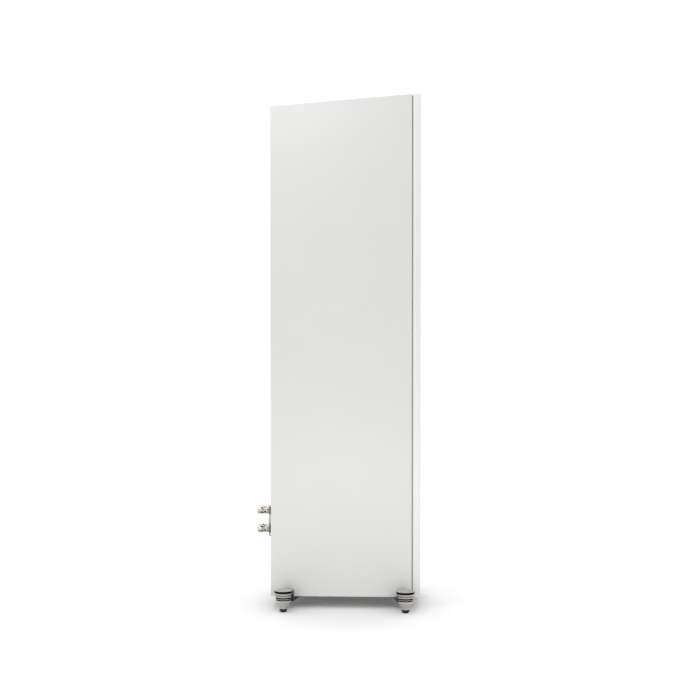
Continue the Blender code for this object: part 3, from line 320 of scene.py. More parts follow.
metal = {"Metallic": 1.0}
finishes = {
    # sprayed satin lacquer on board: even off-white, with a trace of orange peel in its sheen
    "satin lacquer": {"colours": ("#cdcdcb", "#cfd0cd"), "patchMm": 90, "grainMm": 2.4,
                      "grainShare": 0.15, "roughness": (0.36, 0.44), "bumpMm": 0.03, "bump": 0.25,
                      "shader": {"IOR": 1.5, "Coat Weight": 0.15, "Coat Roughness": 0.3}},
    # the same lacquer with one more coat, flatted and a shade lighter, on the front board
    "fine satin lacquer": {"colours": ("#d7d7d5", "#d9d9d7"), "patchMm": 70, "grainMm": 2.0,
                           "grainShare": 0.15, "roughness": (0.34, 0.41), "bumpMm": 0.02, "bump": 0.25,
                           "shader": {"IOR": 1.5, "Coat Weight": 0.2, "Coat Roughness": 0.25}},
    # grey painted shade on the front board's faces inside the shadow groove: dull, it darkens the groove
    "groove painted shade": {"colours": ("#969694", "#a0a09e"), "patchMm": 12, "grainMm": 0.8,
                    "roughness": (0.7, 0.85), "bumpMm": 0.05, "shader": {"IOR": 1.5}},
    # medium density fibreboard: matt brown with pressed fibre flecks
    "fibreboard": {"colours": ("#8c6a45", "#a8855b"), "patchMm": 14, "grainMm": 0.9,
                   "stretch": (1, 1, 0.3), "roughness": (0.78, 0.92), "bumpMm": 0.15, "shader": {"IOR": 1.45}},
    # needled wool felt: dull dark grey, tangled and soft at the edges
    "wool felt": {"colours": ("#232326", "#3b3b3e"), "patchMm": 9, "grainMm": 1.2,
                  "roughness": (0.92, 1.0), "bumpMm": 0.5, "shader": {"IOR": 1.45, "Sheen Weight": 0.35}},
    # black ABS, moulded with a spark-eroded grain, half matt; the same finish paints shade on the walls of the
    # knobs' cross holes
    "moulded ABS and painted hole shade": {"colours": ("#101011", "#171718"), "patchMm": 20, "grain": "cells", "grainMm": 0.7,
                    "roughness": (0.42, 0.56), "bumpMm": 0.04, "shader": {"IOR": 1.53}},
    # clear red polycarbonate ring of a terminal: deep red, glossy
    "red polycarbonate": {"colours": ("#7d0f0c", "#93150f"), "patchMm": 5, "grainMm": 0.8,
                          "roughness": (0.18, 0.28), "bumpMm": 0.01, "shader": {"IOR": 1.58}},
    # its black fellow
    "black polycarbonate": {"colours": ("#0b0b0c", "#121213"), "patchMm": 5, "grainMm": 0.8,
                            "roughness": (0.18, 0.28), "bumpMm": 0.01, "shader": {"IOR": 1.58}},
    # nickel plated brass, lathe turned: warm silver with fine rings
    "plated nickel": {"colours": ("#a29e98", "#bcb8b1"), "patchMm": 6, "grain": "Y", "grainMm": 0.35,
                      "turned": True, "roughness": (0.14, 0.26), "bumpMm": 0.006, "shader": metal},
    # rolled nickel strip: straight faint rolling lines
    "rolled nickel": {"colours": ("#8a8885", "#a09d99"), "patchMm": 8, "grainMm": 0.6,
                      "stretch": (1, 1, 0.06), "roughness": (0.2, 0.32), "bumpMm": 0.008, "shader": metal},
    # powder coated cast aluminium: black, a fine pebbled skin
    "powder coat": {"colours": ("#0e0e0f", "#161617"), "patchMm": 12, "grain": "cells", "grainMm": 0.6,
                    "roughness": (0.38, 0.5), "bumpMm": 0.05, "shader": {"IOR": 1.5}},
    # anodised turned aluminium: soft grey with close concentric lathe lines
    "turned aluminium": {"colours": ("#bcbcba", "#cbcbc9"), "patchMm": 10, "grain": "Y", "grainMm": 0.5,
                         "turned": True, "roughness": (0.26, 0.36), "bumpMm": 0.008,
                         "shader": metal},
    # polished band of the same aluminium: brighter, almost a mirror
    "polished aluminium": {"colours": ("#cfcecb", "#dedddb"), "patchMm": 8, "grain": "Y", "grainMm": 0.6,
                           "turned": True, "roughness": (0.12, 0.2), "bumpMm": 0.004, "shader": metal},
    # satin nickel on the ring round the hollow: warm, half bright
    "satin nickel": {"colours": ("#b3b0aa", "#c2bfb9"), "patchMm": 8, "grain": "Y", "grainMm": 0.5, "turned": True,
                     "roughness": (0.2, 0.3), "bumpMm": 0.006, "shader": metal},
    # darker warm grey metal in the hollow of the eye: painted shade in the groove
    "eye hollow painted shade": {"colours": ("#7d7871", "#918c84"), "patchMm": 6, "grain": "Y", "grainMm": 0.4,
                            "turned": True, "roughness": (0.3, 0.42), "bumpMm": 0.01, "shader": metal},
    # bead blasted steel of the cones: mid grey, even and satin
    "blasted steel": {"colours": ("#aeaead", "#bfbfbe"), "patchMm": 5, "grain": "cells", "grainMm": 0.4,
                      "roughness": (0.3, 0.4), "bumpMm": 0.01, "shader": metal},
    # gloss black anodised knurl: dark, with small bright glints on its ribs
    "black anodised knurl": {"colours": ("#0a0a0b", "#161617"), "patchMm": 4, "grainMm": 0.8,
                             "roughness": (0.2, 0.3), "bumpMm": 0.01, "shader": metal},
    # butyl rubber, moulded: black with a dull bloom
    "butyl rubber": {"colours": ("#0d0d0e", "#18181a"), "patchMm": 10, "grainMm": 0.6,
                     "roughness": (0.42, 0.55), "bumpMm": 0.02, "shader": {"IOR": 1.52}},
    # moulded neoprene of the soles: blacker and more matt
    "neoprene": {"colours": ("#0a0a0a", "#131313"), "patchMm": 6, "grain": "cells", "grainMm": 0.5,
                 "roughness": (0.62, 0.75), "bumpMm": 0.03, "shader": {"IOR": 1.5}},
    # anodised aluminium dome: pale metal with faint spinning lines
    "spun aluminium": {"colours": ("#9fa2a6", "#b3b6ba"), "patchMm": 6, "grain": "Y", "grainMm": 0.5,
                       "turned": True, "roughness": (0.22, 0.3), "bumpMm": 0.004, "shader": metal},
    # sintered ferrite and zinc plated steel: charcoal, slightly chalky
    "sintered ferrite": {"colours": ("#333336", "#454549"), "patchMm": 8, "grainMm": 0.5,
                         "roughness": (0.5, 0.68), "bumpMm": 0.03, "shader": {"Metallic": 0.25}},
    # resin dipped cotton of the spiders: amber cloth, threads about 0.8 mm apart
    "dipped cotton": {"colours": ("#9a6a2a", "#c08a3c"), "patchMm": 12, "grain": "X+Z", "grainMm": 0.8,
                      "roughness": (0.7, 0.85), "bumpMm": 0.12, "shader": {"IOR": 1.5}},
    # woven glass fibre of the cones under black resin; its 1.0 mm threads are drawn at 1.8 mm so that they show
    "woven glass fibre": {"colours": ("#0c0c0e", "#28282c"), "patchMm": 25, "grain": "X+Z", "grainMm": 1.8,
                          "stretch": (1, 1, 1), "tilt": (0, math.radians(45), 0), "wander": 0.2, "grainShare": 0.75,
                          "roughness": (0.34, 0.52), "bumpMm": 0.12, "shader": {"IOR": 1.52}},
    # pressed glass fibre dust cap: the same black, smoother
    "pressed glass fibre": {"colours": ("#0d0d0f", "#1b1b1e"), "patchMm": 10, "grainMm": 0.9,
                            "roughness": (0.3, 0.42), "bumpMm": 0.02, "shader": {"IOR": 1.52}},
    # epoxy glass board with green solder mask
    "solder mask": {"colours": ("#0f4a24", "#16592d"), "patchMm": 6, "grain": "X+Y", "grainMm": 3.0,
                    "roughness": (0.3, 0.45), "bumpMm": 0.04, "shader": {"IOR": 1.55}},
    # enamelled copper wire, wound: turns 1.2 mm apart
    "wound copper": {"colours": ("#8a4322", "#c06a3a"), "patchMm": 9, "grain": "Z", "grainMm": 1.2, "wander": 0.1,
                     "grainShare": 0.7, "roughness": (0.22, 0.4), "bumpMm": 0.3, "shader": metal},
    # soft PVC cable sheath: dark red, slightly waxy
    "cable PVC": {"colours": ("#4c0d0f", "#5d1416"), "patchMm": 15, "grainMm": 0.9,
                  "roughness": (0.4, 0.52), "bumpMm": 0.02, "shader": {"IOR": 1.52}},
    # blackened steel screws: dark grey metal with a dry oil sheen
    "blackened steel": {"colours": ("#1b1b1d", "#2b2b2e"), "patchMm": 2, "grainMm": 0.4,
                        "roughness": (0.3, 0.42), "bumpMm": 0.01, "shader": {"Metallic": 0.9}},
}
finish = {name: makeFinish(name, look) for name, look in finishes.items()}
print("finishes made:", len(finish))

# the CAD nodes that stay, each with its finish
kept = {
    "top_panel": "satin lacquer", "bottom_panel": "satin lacquer", "midrange_shelf": "fibreboard",
    "upper_brace": "fibreboard", "lower_brace": "fibreboard", "damping_lining": "wool felt",
    "tweeter_magnet": "sintered ferrite", "midrange_magnet": "sintered ferrite",
    "woofer_upper_magnet": "sintered ferrite", "woofer_lower_magnet": "sintered ferrite",
    "crossover_board": "solder mask", "crossover_coil": "wound copper",
    "internal_wiring": "cable PVC", "input_lead": "cable PVC",
}
for node, look in kept.items():
    for slotPlace in nodes[node].material_slots:
        slotPlace.material = finish[look]

# cabinet boards

cabinet = {
    "topFall": 0.026,  # the top is this much lower at the rear
    "depth": 0.322,
    "sideEdge": 0.0012,
    "frontEdge": 0.002,
    "grooveWide": 0.002,  # the shadow groove between front board and sides
    "grooveDepth": 0.004,
    "rearDrop": 0.0153,  # the rear board ends this far under the slope, below the top board
}
frontLow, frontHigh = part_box("front_baffle")
frontY = frontLow.y
rearY = frontY + cabinet["depth"]


def topAt(y):
    return frontHigh.z - cabinet["topFall"] * (y - frontY) / cabinet["depth"]


for node in ("side_panel_left", "side_panel_right"):
    low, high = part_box(node)
    panel = boardPiece(node + "_lacquered", low, high, cabinet["sideEdge"], 4, topAt)
    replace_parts(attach(dress(panel, "satin lacquer"), "cabinet"), node)

# front board: one face, softened edges, and a step behind it that leaves the shadow groove
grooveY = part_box("side_panel_left")[0].y - gap - cabinet["grooveWide"]
frontBoard = boardPiece("front_board", frontLow, (frontHigh.x, grooveY, frontHigh.z),
                        cabinet["frontEdge"], 5, topAt)
pickParts("FACE", lambda spot, way: way.y > 0.9 and spot.y > grooveY - 0.0001)
bpy.ops.mesh.inset(thickness=cabinet["grooveDepth"] - cabinet["frontEdge"])
pushFaces(0, frontHigh.y - grooveY, 0)
frontBoard = finishPiece("front_board")
print("boards made")

# drivers

drivers = {
    "woofer": {
        "flangeRadius": 0.0825, "flange": 0.006, "skirtRadius": 0.073, "skirtDepth": 0.012, "wall": 0.003,
        "ledge": 0.004, "rollWidth": 0.009, "rollHeight": 0.0042, "waistRadius": 0.057, "hubRadius": 0.030,
        "basketDepth": 0.050, "spiderDepth": 0.037, "spiderRadius": 0.049, "neckDepth": 0.030,
        "formerRadius": 0.0136, "formerDepth": 0.064, "capRadius": 0.020, "capHeight": 0.0055,
        "windowWidth": 0.036, "windowDepths": (0.015, 0.033), "screwCircle": 0.0778, "screws": 6,
    },
    "midrange": {
        "flangeRadius": 0.070, "flange": 0.005, "skirtRadius": 0.0595, "skirtDepth": 0.010, "wall": 0.0025,
        "ledge": 0.004, "rollWidth": 0.007, "rollHeight": 0.0032, "waistRadius": 0.046, "hubRadius": 0.024,
        "basketDepth": 0.038, "spiderDepth": 0.028, "spiderRadius": 0.039, "neckDepth": 0.024,
        "formerRadius": 0.0128, "formerDepth": 0.050, "capRadius": 0.017, "capHeight": 0.0045,
        "windowWidth": 0.026, "windowDepths": (0.0125, 0.0245), "screwCircle": 0.065, "screws": 4,
    },
}
driverDetail = {
    "steps": 96,
    "windows": 6,
    "coneWall": 0.001,
    "coneSteps": 22,
    "ringSteps": (3, 7),  # the cone's raised lines stand at these steps
    "ringHeight": 0.0003,
    "bulge": 0.0013,  # the cone curves this far ahead of a straight line
    "formerWall": 0.0007,
    "skin": 0.0006,  # thickness of a surround
    "spiderThick": 0.0005,
    "spiderWaves": 4,
    "spiderWave": 0.0007,  # height of a wave
    "spiderDish": 0.0026,  # the spider's middle is this far ahead of its rim
}


# the edge of a flange: a fine groove in its face, then a rounded rim
def rimLine(rim, groove):
    insets = ((groove, 0), (groove - 0.0003, 0.0002), (groove - 0.0007, 0.0002), (groove - 0.001, 0),
              (0.0006, 0), (0.0002, 0.0002), (0, 0.0006))
    return [(rim - inset, depth) for inset, depth in insets]


# radius inside the basket's wall where the spider sits
def seatRadius(size):
    waistDepth = size["basketDepth"] - size["wall"]
    share = (size["spiderDepth"] - size["skirtDepth"]) / (waistDepth - size["skirtDepth"])
    return size["skirtRadius"] + share * (size["waistRadius"] - size["skirtRadius"]) - size["wall"]


def basketProfile(size):
    skirt, wall, depth, hub = size["skirtRadius"], size["wall"], size["basketDepth"], size["hubRadius"]
    opening, ledge = skirt - wall, skirt - wall - size["ledge"]
    rim, flange, spiderAt = size["flangeRadius"], size["flange"], size["spiderDepth"]
    face = flange - 0.0005
    ledgeBack = face + wall - 0.0005
    return [
        *pointsFrom(opening, 0, (0, 1.8), (0.4, 1.1), (1.2, 0.3), (1.8, 0.1), (2.2, 0)),
        *rimLine(rim, 0.0022), (rim, flange), (skirt, flange), (skirt, size["skirtDepth"]),
        (size["waistRadius"], depth - wall), (size["waistRadius"] - wall, depth + wall), (hub, depth + wall),
        (hub, depth), (size["spiderRadius"], depth), (size["spiderRadius"], spiderAt),
        (seatRadius(size), spiderAt), (opening, size["skirtDepth"]), (opening, ledgeBack), (ledge, ledgeBack),
        (ledge, face), (opening, face),
    ]


def rollPlaces(size):
    opening = size["skirtRadius"] - size["wall"]
    outer = opening - size["ledge"] + 0.001
    return opening, outer, outer - size["rollWidth"], size["flange"] - 0.0005


def coneLine(size):
    _, _, lipRadius, face = rollPlaces(size)
    lip, neck = lipRadius - 0.0025, size["formerRadius"]

    def depthAt(radius):
        share = (lip - radius) / (lip - neck)
        return face + (size["neckDepth"] - face) * share - driverDetail["bulge"] * math.sin(math.pi * share)
    return depthAt, lip, lipRadius, face


def coneProfile(size):
    depthAt, lip, lipRadius, face = coneLine(size)
    wall, former = driverDetail["coneWall"], size["formerRadius"]
    count = driverDetail["coneSteps"]
    radii = [lip - (lip - former) * step / count for step in range(count + 1)]
    front = []
    for step, radius in enumerate(radii):
        ridge = driverDetail["ringHeight"] if step in driverDetail["ringSteps"] else 0
        front.append((radius, depthAt(radius) - ridge))
    behind = [(radius, depthAt(radius) + wall) for radius in reversed(radii)]
    inner = former - driverDetail["formerWall"]
    return [
        (lipRadius, face), (lip + 0.0012, face), *front, (inner, front[-1][1]), (inner, size["formerDepth"]),
        (former, size["formerDepth"]), *behind, (lipRadius, face + wall),
    ]


def capProfile(size):
    depthAt = coneLine(size)[0]
    rimRadius, height = size["capRadius"], size["capHeight"]
    rim = depthAt(rimRadius) - 0.0001
    steps = [step / 10 for step in range(11)]
    front = [(rimRadius * s, rim - height * (1 - s ** 2.2)) for s in steps]
    behind = [((rimRadius - 0.0008) * s, rim + 0.0006 - height * (1 - s ** 2.2)) for s in reversed(steps)]
    return front + [(rimRadius + 0.0006, rim - 0.0001), (rimRadius + 0.0006, rim + 0.0004)] + behind


# the half roll is two rings that meet on its crest, so that each can follow its own side of the stroke
def surroundHalves(size):
    opening, outer, inner, face = rollPlaces(size)
    skin = driverDetail["skin"]
    base = face - gap - skin
    middle, half = (outer + inner) / 2, (outer - inner) / 2

    def rollLine(reach, start):
        turns = [math.radians(t) for t in range(0, 91, 9)]
        line = [(middle + reach * math.cos(t), start - size["rollHeight"] * math.sin(t)) for t in turns]
        return line[:-1] + [(middle + 0.0002, line[-1][1]), line[-1]]  # level at its crest

    roll = [*rollLine(half, base), *reversed(rollLine(half - skin, base + skin))]
    outerEdge, innerEdge = opening - gap, inner - 0.002
    outerRing = [(outerEdge, base + skin), (outerEdge, base), *roll]
    innerRing = [(innerEdge, base + skin), (innerEdge, base)]
    innerRing += [(2 * middle - radius, along) for radius, along in roll]
    return outerRing, innerRing, base, base - size["rollHeight"]


def spiderProfile(size):
    inner, flat = size["formerRadius"] + gap, size["spiderRadius"]
    rimDepth = size["spiderDepth"] - gap
    count = driverDetail["spiderWaves"] * 6
    behind = [(seatRadius(size) - gap - 0.001, rimDepth), (flat, rimDepth)]
    for step in range(1, count + 1):
        share = step / count
        wave = driverDetail["spiderWave"] * math.sin(math.tau * driverDetail["spiderWaves"] * share)
        behind.append((flat + (inner - flat) * share, rimDepth - driverDetail["spiderDish"] * share + wave))
    ahead = [(radius, depth - driverDetail["spiderThick"]) for radius, depth in reversed(behind)]
    return behind + ahead


# the seat of a flange in a board, and the hole behind it
def sinkSeat(board, radius, depth, hole, centre, axis):
    profile = [(0, -0.01), (radius + gap, -0.01), (radius + gap, depth + gap),
               (hole, depth + gap), (hole, 0.05), (0, 0.05)]
    cutAway(board, turnedPiece("cutter", profile, centre, axis, driverDetail["steps"]))


screwPlaces = []
screwDetail = {"seatRadius": 0.0035, "seat": 0.003, "holeRadius": 0.002, "end": 0.0158}


# one cutter with a stepped hole at every screw
def screwCutter(places, axis):
    seat, hole = screwDetail["seatRadius"], screwDetail["holeRadius"]
    depth, end = screwDetail["seat"], screwDetail["end"]
    profile = [(0, -0.004), (seat, -0.004), (seat, depth), (hole, depth), (hole, end), (0, end)]
    first = turnedPiece("screw_cutter", profile, places[0], axis, 20)
    copies = [copyPiece(first, "screw_cutter_copy", Matrix.Translation(Vector(place) - Vector(places[0])))
              for place in places[1:]]
    return joinPieces([first, *copies])


def circlePlaces(centre, radius, count):
    turns = [math.pi / count + math.tau * step / count for step in range(count)]
    return [Vector((centre.x + radius * math.cos(t), centre.y, centre.z - radius * math.sin(t))) for t in turns]


def coneDriver(tag, size):
    centre = middleOf(tag + "_cone")
    centre.y = frontY
    steps = driverDetail["steps"]
    places = circlePlaces(centre, size["screwCircle"], size["screws"])
    screwPlaces.extend(places)

    basket = turnedPiece(tag + "_frame", basketProfile(size), centre, back, steps)
    near, far = size["windowDepths"]
    inner, outer = size["spiderRadius"], size["flangeRadius"]
    for step in range(driverDetail["windows"]):
        pickNothing()
        bpy.ops.mesh.primitive_cube_add(
            size=1, location=centre + Vector(((inner + outer) / 2, (near + far) / 2, 0)),
            scale=(outer - inner + 0.006, far - near, size["windowWidth"]))
        window = finishPiece("window")
        turn = Matrix.Rotation(math.tau * step / driverDetail["windows"], 4, "Y")
        window.data.transform(Matrix.Translation(centre) @ turn @ Matrix.Translation(-centre))
        cutAway(basket, window)
    cutAway(basket, screwCutter(places, back))
    smoothAgain(basket)
    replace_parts(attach(dress(basket, "powder coat"), "cabinet"), tag + "_basket")

    outerRing, innerRing, base, crest = surroundHalves(size)
    body = tag + "_cone"
    low = centre + back * base
    beyond = centre + back * (2 * crest - base)
    for name, profile, start, end in (("outer", outerRing, low, beyond), ("inner", innerRing, beyond, low)):
        ring = dress(turnedPiece(f"{tag}_surround_{name}", profile, centre, back, steps, 50),
                     "butyl rubber")
        if name == "outer":
            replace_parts(ring, tag + "_surround")
        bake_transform(ring)

    cone = turnedPiece(tag + "_diaphragm", coneProfile(size), centre, back, steps)
    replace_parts(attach(dress(cone, "woven glass fibre"), body), tag + "_cone")
    cap = turnedPiece(tag + "_dust_cap", capProfile(size), centre, back, 64, 60)
    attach(dress(cap, "pressed glass fibre"), body)

    spider = dress(turnedPiece(tag + "_corrugated_spider", spiderProfile(size), centre, back, 72, 60),
                   "dipped cotton")
    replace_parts(spider, tag + "_spider")
    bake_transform(spider)
    return centre


for tag, kind in (("midrange", "midrange"), ("woofer_upper", "woofer"), ("woofer_lower", "woofer")):
    size = drivers[kind]
    centre = coneDriver(tag, size)
    sinkSeat(frontBoard, size["flangeRadius"], size["flange"], size["skirtRadius"] + 0.0005, centre, back)
    print("driver made:", tag)

# tweeter: a shallow horn in the faceplate, and a metal dome with its coil

tweeter = {
    "plateRadius": 0.052, "plate": 0.005, "bossRadius": 0.037, "boss": 0.004, "mouth": 0.030, "domeRadius": 0.0134,
    "domeHeight": 0.0055, "domeWall": 0.0007, "recess": 0.0015, "coil": 0.0075, "screwCircle": 0.045, "screws": 4,
}
centre = middleOf("tweeter_dome")
centre.y = frontY
rim, mouth, boss = tweeter["plateRadius"], tweeter["mouth"], tweeter["bossRadius"]
plateDeep, plateBack = tweeter["plate"], tweeter["plate"] + tweeter["boss"]
throat = tweeter["domeRadius"] + 0.001
shares = [step / 12 for step in range(13)]
horn = [(mouth + (throat - mouth) * share, (plateDeep - 0.001) * share ** 1.7) for share in shares]
plateProfile = [*reversed(horn), (mouth + 0.001, 0), *rimLine(rim, 0.0024), (rim, plateDeep), (boss, plateDeep),
                (boss, plateBack), (throat, plateBack)]
faceplate = turnedPiece("tweeter_plate", plateProfile, centre, back, driverDetail["steps"])
places = circlePlaces(centre, tweeter["screwCircle"], tweeter["screws"])
screwPlaces.extend(places)
cutAway(faceplate, screwCutter(places, back))
smoothAgain(faceplate)
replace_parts(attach(dress(faceplate, "powder coat"), "cabinet"), "tweeter_faceplate")

wide, recess, tall, wall = tweeter["domeRadius"], tweeter["recess"], tweeter["domeHeight"], tweeter["domeWall"]
domeRim, former = recess + tall, wide - 0.0005
coilEnd = domeRim + tweeter["coil"]
shares = [step / 14 for step in range(15)]
domeProfile = [
    *((wide * share, recess + tall * share * share) for share in shares),
    (wide, domeRim + wall), (former, domeRim + wall), (former, coilEnd), (former - wall, coilEnd),
    (former - wall, domeRim + wall),
    *(((former - 2 * wall) * share, recess + wall + tall * share * share) for share in reversed(shares)),
]
domePiece = turnedPiece("tweeter_diaphragm", domeProfile, centre, back, 64, 50)
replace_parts(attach(dress(domePiece, "spun aluminium"), "tweeter_dome"), "tweeter_dome")
sinkSeat(frontBoard, rim, plateDeep, boss + 0.0005, centre, back)
cutAway(frontBoard, screwCutter(screwPlaces, back))
smoothAgain(frontBoard, 25)
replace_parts(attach(dress(frontBoard, "fine satin lacquer"), "cabinet"), "front_baffle")
# the faces behind the groove line get the grey painted shade of the shadow groove
paintFaces(frontBoard, "groove painted shade", lambda spot, _: spot.y > grooveY + 0.0002)
print("tweeter and front board made")

# screws: pan head with a hexagon socket

screwShape = {"headRadius": 0.0032, "head": 0.0026, "shankRadius": 0.0017, "shank": 0.014, "socket": 0.0013}


def screwPiece(name, place, axis):
    head, radius, shank = screwShape["head"], screwShape["headRadius"], screwShape["shankRadius"]
    top, end = screwDetail["seat"] - gap - head, screwShape["shank"]
    profile = [(0, top), (radius * 0.55, top), (radius * 0.8, top + 0.0002), (radius * 0.95, top + 0.0006),
               (radius, top + 0.0011), (radius, top + head), (shank, top + head), (shank, end), (0, end)]
    screw = turnedPiece(name, profile, place, axis, 24)
    cutHole(screw, 6, screwShape["socket"], 0.004, Vector(place) + axis * top, (math.pi / 2, 0, 0))
    smoothAgain(screw)
    return dress(screw, "blackened steel")


def driveScrews(name, places, axis):
    first = screwPiece(name.format(1), places[0], axis)
    for count, place in enumerate(places[1:], 2):
        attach(copyPiece(first, name.format(count), Matrix.Translation(place - places[0])), "cabinet")
    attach(first, "cabinet")


driveScrews("driver_screw_{:02d}", screwPlaces, back)
print("screws made:", len(screwPlaces))

# rear board, port and terminals

port = {"bore": 0.030, "wall": 0.003, "length": 0.130, "lipRadius": 0.040, "lip": 0.003, "flare": 0.014}
portCentre = middleOf("port_tube")
portCentre.y = rearY
low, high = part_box("rear_panel")
rearBoard = boardPiece("rear_board", low, high, tops=lambda y: topAt(y) - cabinet["rearDrop"])
bore, tube, lipWide, flare = port["bore"], port["bore"] + port["wall"], port["lipRadius"], port["flare"]
sinkSeat(rearBoard, lipWide, port["lip"], tube + gap, portCentre, forward)

flareEdge = lipWide - 0.0012
flareLine = arc((flareEdge, flare), (bore - flareEdge, -flare), 90, 0, 12)
portProfile = [*flareLine, (bore, port["length"]), (tube, port["length"]), (tube, port["lip"]),
               (lipWide, port["lip"]), (lipWide, 0.0006), (lipWide - 0.0004, 0.0001)]
portPiece = turnedPiece("port_flare", portProfile, portCentre, forward, 96)
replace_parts(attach(dress(portPiece, "moulded ABS and painted hole shade"), "cabinet"), "port_tube")

plate = {"size": (0.084, 0.104), "thick": 0.003, "border": 0.0085, "sunk": 0.0008, "frame": 0.010}
plateZ = (middleOf("post_knob_lower_left").z + middleOf("post_knob_upper_left").z) / 2
halfWide, halfTall = plate["size"][0] / 2, plate["size"][1] / 2
innerWide, innerTall = halfWide - plate["frame"], halfTall - plate["frame"]
for wide, tall, near, far in (
    (halfWide + gap, halfTall + gap, rearY - plate["thick"] - gap, rearY + 0.01),  # the plate's seat
    (innerWide, innerTall, rearY - 0.03, rearY),  # the opening behind it
):
    cutAway(rearBoard, boardPiece("cutter", (-wide, near, plateZ - tall), (wide, far, plateZ + tall)))

plateScrews = [Vector((side * (halfWide + innerWide) / 2, rearY, plateZ + level * (halfTall + innerTall) / 2))
               for side in (-1, 1) for level in (-1, 1)]
platePiece = boardPiece("terminal_panel", (-halfWide, rearY - plate["thick"], plateZ - halfTall),
                        (halfWide, rearY, plateZ + halfTall))
pickParts("FACE", lambda spot, way: way.y > 0.9)
bpy.ops.mesh.inset(thickness=plate["border"])
pushFaces(0, -plate["sunk"], 0)
pickParts("EDGE", lambda spot, run: spot.y > rearY - 0.0012 and abs(run.y) < 1e-6)
roundEdges(0.0003, 2)
platePiece = finishPiece("terminal_panel")
plateHoles = screwCutter(plateScrews, forward)
holesAgain = copyPiece(plateHoles, "cutter", Matrix.Identity(4))
cutAway(platePiece, plateHoles)
cutAway(rearBoard, holesAgain)
smoothAgain(platePiece)
smoothAgain(rearBoard, 25)
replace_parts(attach(dress(rearBoard, "satin lacquer"), "cabinet"), "rear_panel")
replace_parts(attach(dress(platePiece, "moulded ABS and painted hole shade"), "cabinet"), "terminal_plate")
driveScrews("plate_screw_{}", plateScrews, forward)

post = {
    "studRadius": 0.003, "collarRadius": 0.009, "collar": 0.010, "linkThick": 0.0012, "linkWide": 0.013,
    "washerRadius": 0.0068, "washer": 0.0011, "knobRadius": 0.00725, "thread": 0.0123, "socket": 0.0021,
    "reach": 0.036, "flutes": 12, "fluteDeep": 0.00055, "hole": 0.0021,
    "holes": ((0.27, (-80, 10, 100, 190)), (0.60, (-98, -8, 82, 172))),
    "turned": {"lower_left": -24, "lower_right": 12, "upper_left": 0, "upper_right": 35},
}
linkStart = post["collar"] + gap
washerStart = linkStart + post["linkThick"] + gap
knobStart = washerStart + post["washer"] + gap
knobLength = post["reach"] - knobStart
posts = {tag: middleOf("post_knob_" + tag)
         for tag in ("lower_left", "lower_right", "upper_left", "upper_right")}
for place in posts.values():
    place.y = rearY
home = posts["lower_left"]

stud, collarWide = post["studRadius"], post["collarRadius"]
collarProfile = [
    (stud + 0.0001, -0.0012),
    *pointsFrom(collarWide, 0, (-0.6, -1.2), (0, 0), (0, 2.6), (-0.7, 3.1), (-0.7, 4.6), (0, 5.1), (0, 8.6),
                (-0.4, 9.6)),
    (collarWide - 0.001, post["collar"]), (stud + 0.0001, post["collar"]),
]
studEnd = knobStart + post["thread"] - 0.0015
studProfile = [(0, -0.025), (stud - 0.0004, -0.025), (stud, -0.0245), (stud, studEnd - 0.0005),
               (stud - 0.0005, studEnd), (0, studEnd)]
firstCollar = turnedPiece("collar_lower_left", collarProfile, home, back, 48)
firstStud = dress(turnedPiece("stud_lower_left", studProfile, home, back, 24), "plated nickel")

hole, washerWide = stud + 0.0002, post["washerRadius"]
washerEnd = washerStart + post["washer"]
washerProfile = [
    (hole, washerStart), *pointsFrom(washerWide, washerStart, (-0.2, 0), (0, 0.2)),
    *pointsFrom(washerWide, washerEnd, (0, -0.2), (-0.2, 0)), (hole, washerEnd),
]
firstWasher = dress(turnedPiece("washer_lower_left", washerProfile, home, back, 48), "plated nickel")

wide, waist, socket, thread = post["knobRadius"], post["knobRadius"] - 0.0005, post["socket"], post["thread"]
knobLine = [(hole, 0), *pointsFrom(wide, 0, (-0.7, 0), (-0.2, 0.2), (0, 0.7), (0, 1.2))]
knobLine += [(radius, knobLength * share) for radius, share in (
    (wide, 0.28), (wide - 0.0003, 0.30), (waist, 0.33), (waist, 0.43), (wide - 0.0003, 0.46), (wide, 0.48),
    (wide, 0.52))]
knobLine += pointsFrom(wide, knobLength, (0, -3.5), (0, -1.4), (-0.3, -0.6), (-1, -0.1), (-1.4, 0))
knobLine += pointsFrom(socket, knobLength, (1.2, 0), (0.8, -0.6), (0, -0.8))
knobLine += [(socket, thread), (hole, thread)]
knobProfile = [(radius, along + knobStart) for radius, along in knobLine]
firstKnob = turnedPiece("knob_lower_left", knobProfile, home, back, 48, 28)
knobFrom, knobTo = rearY + knobStart, rearY + knobStart + knobLength
fluteGap = 360 / post["flutes"]


def inFlute(spot, _):
    turn = math.degrees(math.atan2(spot.z - home.z, spot.x - home.x)) % fluteGap
    radius = math.hypot(spot.z - home.z, spot.x - home.x)
    inBarrel = (knobFrom + knobTo) / 2 < spot.y < knobTo - 0.003 and radius > waist
    return inBarrel and min(turn, fluteGap - turn) < 4


makeActive(firstKnob)
pickParts("VERT", inFlute)
shrink = 1 - post["fluteDeep"] / wide
bpy.ops.transform.resize(value=(shrink, 1, shrink), center_override=home)
bpy.ops.object.mode_set(mode="OBJECT")
for share, turns in post["holes"]:
    for turn in map(math.radians, turns):
        way = Matrix.Rotation(turn, 3, "Y") @ up
        place = home + back * (knobStart + knobLength * share) + way * 0.0075
        cutHole(firstKnob, 20, post["hole"], 0.007, place, (0, turn, 0))
smoothAgain(firstKnob, 28)
dress(firstKnob, "plated nickel")


# faces on the walls of the knob's cross holes, which are painted black as painted shade
def inPaintedShadeHole(spot, _):
    radius = math.hypot(spot.z - home.z, spot.x - home.x)
    return knobFrom + 0.001 < spot.y < knobTo - 0.002 and socket + 0.001 < radius < waist - 0.0004


# painted shade: the cross holes' walls are painted black
paintFaces(firstKnob, "moulded ABS and painted hole shade", inPaintedShadeHole)

